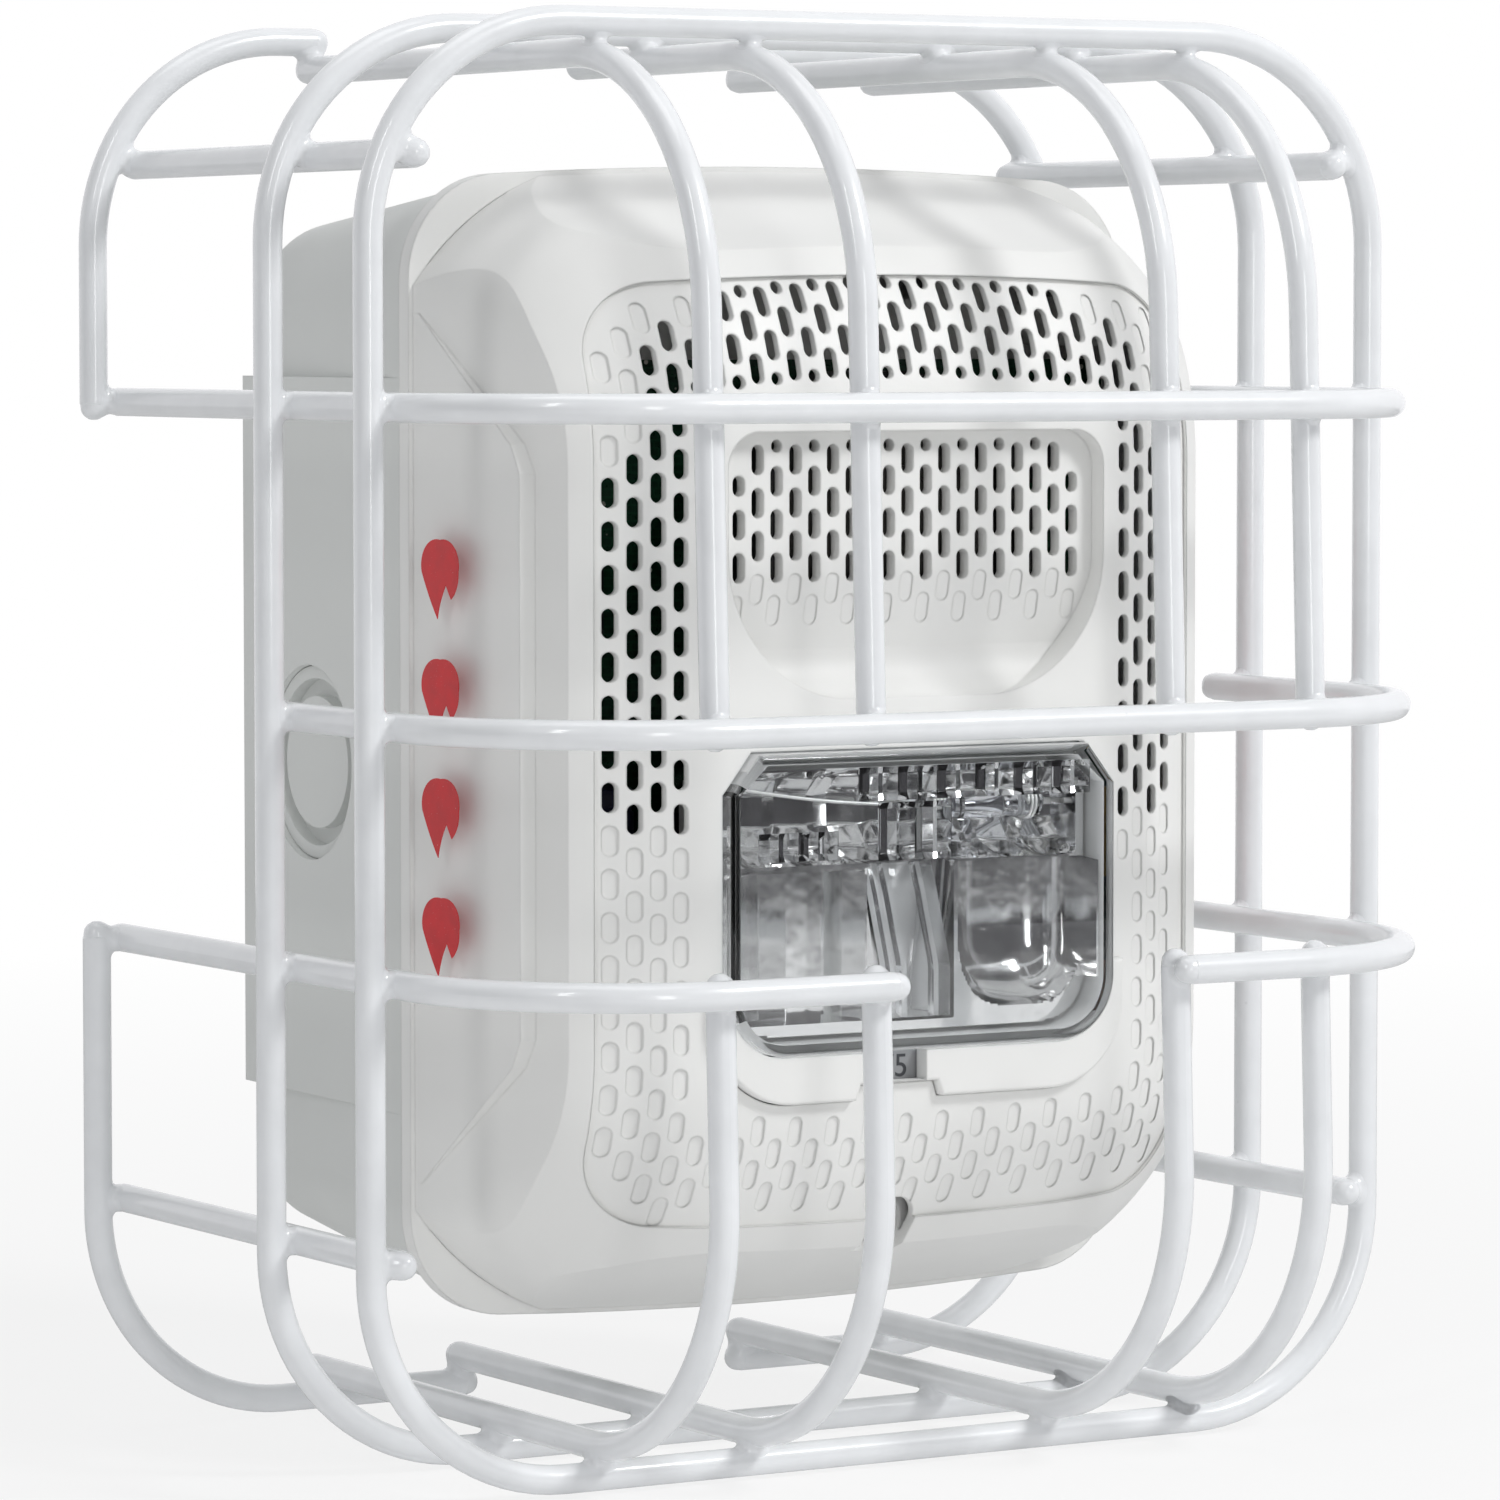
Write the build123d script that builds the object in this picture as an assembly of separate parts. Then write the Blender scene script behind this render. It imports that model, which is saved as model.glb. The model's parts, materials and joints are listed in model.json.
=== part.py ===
from build123d import *
import math
import os

# Wall-mounted fire horn strobe on a surface back box, standing inside a welded wire guard.
# Millimetres.  X to the right, Z up, the wall is the plane y = 0 and the front faces -Y.
# The origin is the middle of the back box on the wall.

# ---------------------------------------------------------------- guard sizes
wire_d = 4.1
wire_r = wire_d / 2
guard_mid_z = 0.8
ring_half_w = 82.5
ring_half_h = 100.0
ring_corner_r = 30.0
rear_y = -4.0
middle_y = -59.5
front_y = -89.0
upright_x = [-47.0, -22.5, 26.5, 50.5]
upright_y = -120.6
upright_lean = 0.0389
upright_bend_r = 36.0
upright_setback = [0.05, 0.0, 0.0, 0.42]
bar_z = [48.3, 5.2, -29.6]
bar_bend_r = 33.0
short_bar_end_y = -56.0
short_roof_end_y = -40.0
side_bar_z = [82.5, -67.7]
side_bar_tip_y = [-89.8, -90.5]

# ---------------------------------------------------------------- back box sizes
box_depth = 53.5
box_rear_half_w = 54.0
box_rear_half_h = 75.4
box_front_half_w = 58.6
box_front_half_h = 80.9
box_wall = 2.5
box_back = 3.0
pad_half_h = 52.0
pad_rear_half_w = 56.4
wall_hole_dx = 46.0
wall_hole_dz = 83.3
wall_hole_r = 2.4
cable_hole_r = 11.1
knockout_r = 14.1
knockout_y = -22.8
knockout_z = -3.7
gasket_t = 1.7

# ---------------------------------------------------------------- device sizes
lip_t = 2.8
lip_half_w = 59.8
lip_half_h = 82.1
lip_y = -(box_depth + gasket_t)
body_y = lip_y - lip_t
face_y = -98.0
pillow_r = 40.0
pillow_flat_half_w = 27.0
pillow_flat_half_h = 43.0
cover_wall = 2.2
rim_w = 3.8
rim_step = 0.9
slot_w = 2.0
slot_h = 4.2
pocket_depth = 0.32
mouth_pocket_depth = 0.2
bezel_arm_top = -30.5
mouth_slot_dx = 3.05
mouth_slot_dz = 2.98
mouth_slot_top = 40.8
face_slot_dx = 3.02
mouth_half_w = 30.9
mouth_top = 44.7
mouth_bottom = 7.6
mouth_back_y = -93.8
lens_half_w = 31.6
lens_top = 0.4
lens_bottom = -41.6
window_x = -4.2
window_w = 9.4
number_pitch = 9.5
screw_z = -66.8

os.makedirs("parts", exist_ok=True)


def save(name, shape):
    """Write one physical piece (or one group of identical fasteners) to its own file."""
    shape.label = name
    export_step(shape, "parts/" + name + ".step")


def slab(outline, y_rear, y_front):
    """Solid from an outline drawn in the XZ plane, filling y_front..y_rear."""
    face = Plane.XZ.offset(-y_rear) * outline
    return extrude(face, y_rear - y_front, dir=(0, -1, 0))


def rod(radius, x, z, y_rear, y_front):
    """Round bar lying along Y."""
    return slab(Pos(x, z) * Circle(radius), y_rear, y_front)


def bulged_outline(half_w, half_h, corner_r, bulge):
    """Rounded rectangle whose top and bottom edges are gently arched outward."""
    side_h = half_h - bulge
    with BuildSketch() as sketch:
        with BuildLine():
            Line((half_w, -side_h), (half_w, side_h))
            ThreePointArc((half_w, side_h), (0, half_h), (-half_w, side_h))
            Line((-half_w, side_h), (-half_w, -side_h))
            ThreePointArc((-half_w, -side_h), (0, -half_h), (half_w, -side_h))
        make_face()
        fillet(sketch.vertices(), corner_r)
    return sketch.sketch


def tapered(rear, front, y_rear, y_front):
    """Loft between two outlines of the same make-up."""
    rear_face = (Plane.XZ.offset(-y_rear) * rear).face()
    front_face = (Plane.XZ.offset(-y_front) * front).face()
    return Solid.make_loft([rear_face.outer_wire(), front_face.outer_wire()], True)


# ================================================================ wire guard
def wire_along(path, end_round=0.6):
    """Round wire swept along a path, with its two cut ends rounded over."""
    start = Plane(origin=path @ 0, z_dir=path % 0)
    solid = sweep(start * Circle(wire_r), path=path, transition=Transition.ROUND)
    flat_ends = [f for f in solid.faces() if f.geom_type == GeomType.PLANE]
    rims = [e for f in flat_ends for e in f.edges()]
    if rims:
        solid = fillet(rims, end_round)
    return solid


def ring(y):
    """Closed rectangular ring with rounded corners, standing upright at depth y."""
    outline = RectangleRounded(2 * ring_half_w, 2 * ring_half_h, ring_corner_r)
    centre_line = (Plane.XZ.offset(-y) * outline).face().outer_wire()
    centre_line = centre_line.moved(Pos(0, 0, guard_mid_z))
    start = Plane(origin=centre_line @ 0, z_dir=centre_line % 0)
    return sweep(start * Circle(wire_r), path=centre_line, transition=Transition.ROUND)


def rear_quarter(side, up, z_end, x_end):
    """One bent quarter of the rear frame, from its cut end on the side to its end on the roof."""
    z_run = guard_mid_z + up * ring_half_h
    x_run = side * ring_half_w
    path = FilletPolyline(
        (x_run, rear_y, z_end),
        (x_run, rear_y, z_run),
        (x_end, rear_y, z_run),
        radius=ring_corner_r,
    )
    return wire_along(path.wire())


def upright_depth(z):
    """Depth of the uprights at height z; the front of the guard leans out toward the bottom."""
    return upright_y + upright_lean * z


def upright(x, up, z_end, y_end, setback):
    """Front upright that bends over into a roof or floor run under the rings."""
    z_run = guard_mid_z + up * (ring_half_h - wire_d)
    path = FilletPolyline(
        (x, upright_depth(z_end) + setback, z_end),
        (x, upright_depth(z_run) + setback, z_run),
        (x, y_end, z_run),
        radius=upright_bend_r,
    )
    return wire_along(path.wire())


def crossbar(z, points):
    """Crossbar bent around the front of the guard, outside the uprights, inside the rings."""
    path = FilletPolyline(*[(x, y, z) for x, y in points], radius=bar_bend_r)
    return wire_along(path.wire())


side_x = ring_half_w - wire_d
end_lap = 0.65  # how far a cut end runs past the middle of the wire it is welded to
wall_end_y = rear_y + end_lap
bar_front_y = [upright_depth(z) - wire_d - 0.005 for z in bar_z]

save("guard_front_ring", ring(front_y))
save("guard_middle_ring", ring(middle_y))

top_cut = bar_z[0] - end_lap
low_cut = bar_z[2] + end_lap
save("guard_rear_wire_upper_left", rear_quarter(-1, 1, top_cut, upright_x[0] + end_lap))
save("guard_rear_wire_upper_right", rear_quarter(1, 1, top_cut, upright_x[2] - end_lap))
save("guard_rear_wire_lower_left", rear_quarter(-1, -1, low_cut, upright_x[1] + end_lap))
save("guard_rear_wire_lower_right", rear_quarter(1, -1, low_cut, upright_x[2] - end_lap))

roof_end_y = [wall_end_y, short_roof_end_y, wall_end_y, wall_end_y]
for number, x in enumerate(upright_x):
    setback = upright_setback[number]
    upper = upright(x, 1, bar_z[1] - end_lap, roof_end_y[number], setback)
    lower = upright(x, -1, bar_z[2] + end_lap, wall_end_y, setback)
    save("guard_upright_%d_upper" % (number + 1), upper)
    save("guard_upright_%d_lower" % (number + 1), lower)

upper_bar = [
    (-side_x, wall_end_y),
    (-side_x, bar_front_y[0]),
    (side_x, bar_front_y[0]),
    (side_x, wall_end_y),
]
middle_bar = [
    (-side_x, short_bar_end_y),
    (-side_x, bar_front_y[1]),
    (side_x, bar_front_y[1]),
    (side_x, short_bar_end_y),
]
lower_left_bar = [
    (-side_x, wall_end_y),
    (-side_x, bar_front_y[2]),
    (upright_x[1] + end_lap, bar_front_y[2]),
]
lower_right_bar = [
    (side_x, wall_end_y),
    (side_x, bar_front_y[2]),
    (upright_x[2] - end_lap, bar_front_y[2]),
]
save("guard_crossbar_upper", crossbar(bar_z[0], upper_bar))
save("guard_crossbar_middle", crossbar(bar_z[1], middle_bar))
save("guard_crossbar_lower_left", crossbar(bar_z[2], lower_left_bar))
save("guard_crossbar_lower_right", crossbar(bar_z[2], lower_right_bar))

# The upper side bars lie against the rounded corner of the rings, so they sit further in.
corner_z = guard_mid_z + ring_half_h - ring_corner_r
corner_reach = ring_corner_r - wire_d
upper_in = math.sqrt(corner_reach**2 - (side_bar_z[0] - corner_z) ** 2)
side_bar_x = [ring_half_w - ring_corner_r + upper_in, side_x]
for level, word in enumerate(["upper", "lower"]):
    for side, hand in ((-1, "left"), (1, "right")):
        x = side * side_bar_x[level]
        z = side_bar_z[level]
        line = Line((x, wall_end_y, z), (x, side_bar_tip_y[level], z))
        save("guard_side_bar_%s_%s" % (word, hand), wire_along(Wire(line.edges())))

# ================================================================ back box
box_rear = bulged_outline(box_rear_half_w, box_rear_half_h, 14, 1.6)
box_front = bulged_outline(box_front_half_w, box_front_half_h, 15, 2.4)
box = tapered(box_rear, box_front, 0, -box_depth)
cavity_rear = bulged_outline(box_rear_half_w - box_wall, box_rear_half_h - box_wall, 11.5, 1.6)
cavity_front = bulged_outline(box_front_half_w - box_wall, box_front_half_h - box_wall, 12.5, 2.4)
cavity = tapered(cavity_rear, cavity_front, -box_back, -box_depth - 0.01)

# Straight pads down both sides carry the conduit openings.
for side in (-1, 1):
    pad_plan = Polygon(
        (side * 50, 0),
        (side * pad_rear_half_w, 0),
        (side * box_front_half_w, -box_depth),
        (side * 50, -box_depth),
        align=None,
    )
    box += extrude(Plane.XY.offset(-pad_half_h) * pad_plan, 2 * pad_half_h, dir=(0, 0, 1))
box -= cavity

boss_xz = [(sx * 43, sz * 61) for sx in (-1, 1) for sz in (-1, 1)]
boss_front_y = -47.0
for x, z in boss_xz:
    box += rod(4.5, x, z, -box_back, boss_front_y)
    box -= rod(1.95, x, z, -box_back - 20, boss_front_y - 1)
for sx in (-1, 1):
    for sz in (-1, 1):
        box -= rod(wall_hole_r, sx * wall_hole_dx / 2, sz * wall_hole_dz / 2, 1, -box_back - 1)
box -= rod(cable_hole_r, 0, 0, 1, -box_back - 1)
side_hole_z = Plane.YZ * (Pos(knockout_y, knockout_z) * Circle(knockout_r))
box -= extrude(side_hole_z, 80, both=True)
for side in (-1, 1):
    for z in (45.0, 26.0):
        box -= Pos(side * 56.6, -8.2, z) * Box(1.2, 4.4, 0.9)
save("back_box", box)

# Push-in conduit plugs close the two side openings, sunk a little below the pads.
for side, hand in ((-1, "left"), (1, "right")):
    plug_plane = Plane(origin=(side * 50.5, knockout_y, knockout_z), z_dir=(side, 0, 0))
    head_plane = Plane(origin=(side * 54.2, knockout_y, knockout_z), z_dir=(side, 0, 0))
    plug = extrude(plug_plane * Circle(knockout_r - 0.12), 5.6)
    plug -= extrude(plug_plane * Circle(knockout_r - 2.4), 3.4)
    plug -= extrude(head_plane * Circle(knockout_r - 2.0), 3) - extrude(head_plane * Circle(9.6), 3)
    save("conduit_plug_" + hand, plug)

gasket_outer = bulged_outline(box_front_half_w - 1.0, box_front_half_h - 1.0, 14, 2.4)
gasket_inner = bulged_outline(box_front_half_w - 4.6, box_front_half_h - 4.6, 10.5, 2.4)
gasket = slab(gasket_outer - gasket_inner, -box_depth, lip_y)
save("box_gasket", gasket)

# ---------------------------------------------------------------- mounting plate in the box
plate_rear_y = boss_front_y
plate_front_y = boss_front_y - 2.0
plate = slab(RectangleRounded(100, 144, 12), plate_rear_y, plate_front_y)
plate -= slab(Pos(0, 22) * RectangleRounded(52, 34, 6), plate_rear_y + 1, plate_front_y - 1)
for x, z in boss_xz:
    plate -= rod(2.3, x, z, plate_rear_y + 1, plate_front_y - 1)
plate += rod(4.5, 0, screw_z, plate_rear_y, plate_front_y - 3.0)
plate -= rod(2.05, 0, screw_z, plate_rear_y + 1, plate_front_y - 4.0)
for sx in (-1, 1):
    hook_foot = Pos(sx * 20, plate_front_y - 1.6, 66) * Box(9, 3.2, 2.4)
    hook_tip = Pos(sx * 20, plate_front_y - 2.4, 68.2) * Box(9, 1.6, 2.4)
    plate += hook_foot + hook_tip
save("mounting_plate", plate)

plate_screws = []
for x, z in boss_xz:
    head = rod(3.6, x, z, plate_front_y, plate_front_y - 2.2)
    head -= Pos(x, plate_front_y - 2.2, z) * Box(5.2, 1.8, 0.9)
    head -= Pos(x, plate_front_y - 2.2, z) * Box(0.9, 1.8, 5.2)
    plate_screws.append(head + rod(1.9, x, z, plate_front_y + 14, plate_front_y))
save("mounting_plate_screws", Compound(children=plate_screws))

# Terminal block: a moulded comb with four clamp screws, on the front of the plate.
term_z = -22.0
term_xs = [-15.0, -5.0, 5.0, 15.0]
term_front_y = plate_front_y - 7.5
terminal = Pos(0, (plate_front_y + term_front_y) / 2, term_z) * Box(42, 7.5, 14)
for x in term_xs:
    terminal -= Pos(x, term_front_y, term_z + 4.6) * Box(7.6, 11, 6)
    terminal -= rod(2.6, x, term_z - 2.2, term_front_y + 4.5, term_front_y - 1)
    terminal -= rod(1.55, x, term_z - 2.2, plate_front_y - 1.0, term_front_y - 1)
save("terminal_block", terminal)

terminal_screws = []
for x in term_xs:
    head = rod(2.5, x, term_z - 2.2, term_front_y + 4.5, term_front_y + 2.6)
    head -= Pos(x, term_front_y + 2.6, term_z - 2.2) * Box(4.2, 1.4, 0.8)
    terminal_screws.append(head + rod(1.5, x, term_z - 2.2, plate_front_y - 1.2, term_front_y + 4.5))
save("terminal_screws", Compound(children=terminal_screws))

# Shorting spring: a bent strip that bridges the loop while the device is off its plate.
spring_line = Polyline((26, -0.25), (36, -0.25), (36, -3.6), (29, -5.4))
spring_strip = trace(spring_line, line_width=0.5)
shorting_spring = extrude(Pos(0, plate_front_y, term_z - 1.5) * spring_strip, 3.0)
save("shorting_spring", shorting_spring)

# ================================================================ front cover
def flat_pillow(depth_in):
    """Block whose front is flat in the middle and rolls back along all four edges."""
    half_w = pillow_flat_half_w + pillow_r
    half_h = pillow_flat_half_h + pillow_r
    block = slab(RectangleRounded(2 * half_w, 2 * half_h, pillow_r + 3), 0, face_y)
    front_edges = block.faces().sort_by(Axis.Y)[0].edges()
    block = fillet(front_edges, pillow_r)
    return Pos(0, depth_in, 0) * block


def cover_taper(inset, y_rear):
    """Tapered block that gives the cover its sloping sides, drawn inset from the outside."""
    slope_w = (lip_half_w - 52.8) / (body_y + 88.7)
    slope_h = (lip_half_h - 71.4) / (body_y + 86.6)
    reach = body_y - (face_y - 6)
    rear_w = lip_half_w - 0.7 - inset
    rear_h = lip_half_h - 0.7 - inset
    extra = (y_rear - body_y) / reach
    shrink_w = abs(slope_w) * reach
    shrink_h = abs(slope_h) * reach
    rear = bulged_outline(rear_w + extra * shrink_w, rear_h + extra * shrink_h, 15 - inset, 2.4)
    front = bulged_outline(rear_w - shrink_w, rear_h - shrink_h, 14.5 - inset, 1.8)
    return tapered(rear, front, y_rear, face_y - 6)


def side_pads(inset):
    """Flat raised panels on both sides of the cover, wedge shaped in plan."""
    pads = []
    for side in (-1, 1):
        wide = lip_half_w - 0.7 - inset
        tip = 55.9 - inset
        plan = Polygon(
            (side * 40, body_y),
            (side * wide, body_y),
            (side * tip, -82.8),
            (side * 40, -82.8),
            align=None,
        )
        block = extrude(Plane.XY.offset(-70) * plan, 140, dir=(0, 0, 1))
        outline = Polygon(
            (body_y + 1, 61 - inset),
            (body_y - 1.5, 61 - inset),
            (-80.8 + inset, 43 - inset),
            (-82.8 + inset, 39 - inset),
            (-82.8 + inset, -39 + inset),
            (-80.8 + inset, -43 + inset),
            (body_y - 1.5, -61 + inset),
            (body_y + 1, -61 + inset),
            align=None,
        )
        gate = extrude(Plane.YZ.offset(-75) * outline, 150, dir=(1, 0, 0))
        pads.append(block & gate)
    return pads


outer = cover_taper(0, body_y) & flat_pillow(0)
for pad in side_pads(0):
    outer += pad & flat_pillow(0)
lip = slab(bulged_outline(lip_half_w, lip_half_h, 15, 2.4), lip_y, body_y)
cover = outer + lip
hollow = cover_taper(cover_wall, lip_y + 0.01) & flat_pillow(cover_wall)
cover -= hollow

# The face inside the rim is sunk a little.
face_outline = bulged_outline(52.8 - rim_w, 71.4 - rim_w - 1.2, 11.5, 1.8)
face_sink = slab(face_outline, -60, face_y - 1) - flat_pillow(rim_step)
cover -= face_sink

# Horn mouth: a bay whose back wall leans inward below the slots and then sweeps forward.
mouth_w = 2 * mouth_half_w
mouth_h = mouth_top - mouth_bottom
mouth_plan = Rectangle(mouth_w, mouth_h)
mouth_plan = fillet(mouth_plan.vertices().group_by(Axis.Y)[0], 20)
mouth_plan = fillet(mouth_plan.vertices().group_by(Axis.Y)[-1], 5)
mouth_plan = Pos(0, (mouth_top + mouth_bottom) / 2) * mouth_plan
mouth_outline = slab(mouth_plan, -60, face_y - 1)
thick_plan = offset(mouth_plan, cover_wall)
thick_outline = slab(thick_plan, -60, face_y + rim_step + 0.3)


def mouth_profile(shift):
    """Side view of the bay, drawn in YZ; shift moves the wall inward for the back face."""
    front_top = (face_y - 3, mouth_top + 8)
    back_top = (mouth_back_y + shift, mouth_top + 8)
    back_low = (mouth_back_y + shift, 24.5)
    deepest = (mouth_back_y + 2.2 + shift, 14.5)
    sweep_mid = (mouth_back_y + 0.6 + shift * 0.8, 10.1 - shift * 0.6)
    ledge = (face_y + 0.6 + shift * 0.9, mouth_bottom - shift * 0.4)
    front_low = (face_y - 3, mouth_bottom - shift * 0.4)
    with BuildSketch(Plane.YZ) as sketch:
        with BuildLine():
            Polyline(front_top, back_top, back_low, deepest)
            ThreePointArc(deepest, sweep_mid, ledge)
            Polyline(ledge, front_low, front_top)
        make_face()
    return extrude(sketch.sketch, 45, both=True)


mouth_shell = thick_outline & mouth_profile(cover_wall) & flat_pillow(rim_step)
cover += mouth_shell
cover -= mouth_outline & mouth_profile(0)

# Window for the strobe lens and, below it, the seat of the lens bezel.
lens_h = lens_top - lens_bottom
lens_mid = (lens_top + lens_bottom) / 2


def lens_outline(grow):
    """Front outline of the lens: clipped upper corners, rounded lower corners."""
    w = lens_half_w + grow
    points = [
        (-w, lens_bottom - grow),
        (w, lens_bottom - grow),
        (w, lens_top - 5.6),
        (w - 4.4, lens_top + grow),
        (-w + 4.4, lens_top + grow),
        (-w, lens_top - 5.6),
    ]
    shape = Polygon(*points, align=None)
    low = shape.vertices().group_by(Axis.Y)[0]
    return fillet(low, 9 + grow)


bezel_bottom = -48.4


def bezel_outline(grow):
    """U-shaped plate around the lower half of the lens, notched under the number window."""
    w = lens_half_w + 2.2 + grow
    height = bezel_arm_top - bezel_bottom + grow
    shape = Pos(0, bezel_arm_top - height / 2) * Rectangle(2 * w, height)
    shape = fillet(shape.vertices().group_by(Axis.Y)[0], 12.5 + grow)
    notch = Polygon(
        (-11.2 + grow, bezel_bottom - grow - 1),
        (-10.2 + grow, bezel_bottom + 2.2 - grow),
        (2.4 - grow, bezel_bottom + 2.2 - grow),
        (3.6 - grow, bezel_bottom - grow - 1),
        align=None,
    )
    return shape - notch


cover -= slab(lens_outline(0.25), -60, face_y - 1)
cover -= slab(bezel_outline(0.15), -60, face_y - 1)

# Slots: one staggered grid covers the face, open above the horn and down both sides and blind
# elsewhere.  Its rows arch gently with the top edge.  The mouth has a straight grid of its own.
def row_height(row):
    """Height of a grid row on the centre line; rows are a little wider apart on the lower half."""
    return 63.6 - 3.04 * min(row, 8) - 3.18 * max(row - 8, 0)


def face_slot_z(x, z_centre):
    """Height at x of a row that crosses the centre line at z_centre."""
    return z_centre - x**2 * (z_centre + 5) / 34800


def inside_face(x, z):
    """True where a slot centred at x, z stays clear of the rim of the sunken face."""
    corner_x = 52.8 - rim_w - 11.5
    corner_z = 71.4 - rim_w - 1.2 - 11.5
    out_x = max(abs(x) - corner_x, 0)
    out_z = max(abs(z) + (slot_h - slot_w) / 2 - corner_z, 0)
    return math.hypot(out_x, out_z) < 11.5 - 2.0


slot = SlotOverall(slot_h, slot_w, rotation=90)
short_slot = SlotOverall(2.9, slot_w, rotation=90)
dot = Circle(0.9)
open_slots = []
blind_slots = []

for i in range(-9, 10):
    x = i * mouth_slot_dx
    for j in range(8):
        z = mouth_slot_top - j * mouth_slot_dz
        if (i + j) % 2 != 0:
            continue
        if j > 5:
            blind_slots.append(Pos(x, z) * slot)
        elif abs(i) == 9 and j == 1:
            open_slots.append(Pos(x, z - 0.6) * short_slot)
        else:
            open_slots.append(Pos(x, z) * slot)
    if i % 2 != 0 and abs(i) < 9:
        open_slots.append(Pos(x, mouth_slot_top + 1.9) * dot)

first_open_row = [8, 7, 2, 1]  # from the outermost column of a side strip inwards
last_open_row = 23
for column in range(-15, 16):
    x = (column - 0.5) * face_slot_dx
    strip = abs(column) > 11
    for row in range(-1, 42):
        if (column + row) % 2 == 0:
            continue
        z = face_slot_z(x, row_height(row))
        beside_bezel = abs(x) < 35.5 and -51 < z < -20
        if strip and first_open_row[15 - abs(column)] <= row <= last_open_row:
            open_slots.append(Pos(x, z) * slot)
        elif not strip and 0 <= row <= 3 and (row > 0 or abs(column) < 10):
            open_slots.append(Pos(x, z) * slot)
        elif not strip and row == -1 and abs(column) < 10:
            open_slots.append(Pos(x, z - 1.3) * dot)
        elif not strip and row == 4:
            open_slots.append(Pos(x, z + 1.4) * (dot if abs(column) < 8 else Circle(1.0)))
        elif inside_face(x, z) and not beside_bezel and (strip or row > 36 or row == 0):
            blind_slots.append(Pos(x, z) * slot)

cover -= extrude(Plane.XZ.offset(72) * Sketch(open_slots), 40)
pocket_prisms = extrude(Plane.XZ.offset(72) * Sketch(blind_slots), 40)
face_skin = flat_pillow(rim_step) - flat_pillow(rim_step + pocket_depth) - mouth_outline
mouth_skin = mouth_outline & mouth_profile(mouth_pocket_depth)
cover -= pocket_prisms & face_skin
cover -= pocket_prisms & mouth_skin

# Screw channel and its open notch in the lower rim, and the inner posts.
post_xz = [(sx * 42, sz * 60) for sx in (-1, 1) for sz in (-1, 1)]
shell_front_y = body_y - 3.0
posts = rod(5.2, 0, screw_z, shell_front_y, -86)
for x, z in post_xz:
    posts += rod(3.6, x, z, shell_front_y, -88)
cover += posts & cover_taper(0.8, body_y) & flat_pillow(1.6)
cover -= rod(3.6, 0, screw_z, -72.5, face_y - 1)
cover -= rod(2.4, 0, screw_z, -50, -75)
cover -= Pos(0.0, -90, screw_z - 3.6) * Box(7.0, 12, 7.2)
for x, z in post_xz:
    cover -= rod(1.45, x, z, shell_front_y + 1, shell_front_y - 12)
save("front_cover", cover)

# ================================================================ device back shell and board
shell_rear_y = body_y - 1.0
standoff_xz = [(sx * 45, sz * 49) for sx in (-1, 1) for sz in (-1, 1)]
board_rear_y = -66.0
board_front_y = -67.6
pin_z = term_z + 4.6
slider_x = window_x
slider_z = -45.0
slider_travel = number_pitch
selector_xz = [(-12.0, 14.0), (12.0, 14.0)]

shell = slab(bulged_outline(55.8, 77.9, 17, 2.4), shell_rear_y, shell_front_y)
shell += slab(
    bulged_outline(55.8, 77.9, 17, 2.4) - bulged_outline(53.8, 75.9, 15, 2.4),
    lip_y - 0.4,
    shell_rear_y,
)
for x, z in standoff_xz:
    shell += rod(3.0, x, z, shell_front_y, board_rear_y)
    shell += rod(1.4, x, z, board_rear_y, board_front_y - 0.9)
for x, z in post_xz:
    shell -= rod(1.7, x, z, shell_rear_y + 1, shell_front_y - 1)
for x, z in selector_xz:
    shell -= rod(6.1, x, z, shell_rear_y + 1, shell_front_y - 1)
shell -= rod(2.6, 0, screw_z, shell_rear_y + 1, shell_front_y - 1)
shell -= Pos(0, -60, pin_z) * Box(38, 6, 6)
shell -= Pos(slider_x, -60, slider_z) * Box(2 * slider_travel + 4.6, 6, 3.4)
for sx in (-1, 1):
    shell -= Pos(sx * 20, -60, 66.5) * Box(10.5, 6, 6.5)
save("device_back_shell", shell)

shell_screws = []
for x, z in post_xz:
    head = rod(3.0, x, z, shell_rear_y + 2.0, shell_rear_y)
    head -= Pos(x, shell_rear_y + 2.0, z) * Box(4.4, 1.6, 0.8)
    head -= Pos(x, shell_rear_y + 2.0, z) * Box(0.8, 1.6, 4.4)
    shell_screws.append(head + rod(1.4, x, z, shell_rear_y, shell_rear_y - 11))
save("back_shell_screws", Compound(children=shell_screws))

board = slab(RectangleRounded(100, 109, 3), board_rear_y, board_front_y)
for x, z in standoff_xz:
    board -= rod(1.45, x, z, board_rear_y + 1, board_front_y - 1)
for x, z in selector_xz:
    board -= rod(1.56, x, z, board_rear_y + 1, board_front_y - 1)
board -= Pos(slider_x, -66.8, slider_z) * Box(2 * slider_travel + 4.6, 4, 3.4)
save("circuit_board", board)

header = Pos(0, board_rear_y + 1.5, pin_z) * Box(36, 3.0, 5.0)
for x in term_xs:
    header += Pos(x, (board_rear_y - 52.4) / 2, pin_z) * Box(3.0, -52.4 - board_rear_y, 0.9)
save("board_connector", header)

for (x, z), word in zip(selector_xz, ("tone", "volume")):
    wheel = rod(5.6, x, z, -57.8, -63.4)
    wheel -= Pos(x, -57.8, z) * Box(8.0, 2.4, 1.4)
    wheel -= Pos(x + 3.4, -57.8, z + 1.4) * Box(1.2, 2.4, 1.4)
    for k in range(12):
        turn = math.radians(30 * k)
        wheel -= rod(0.45, x + 5.6 * math.cos(turn), z + 5.6 * math.sin(turn), -57, -64)
    wheel += rod(1.5, x, z, -63.4, board_front_y - 0.7)
    save(word + "_selector_wheel", wheel)

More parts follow.
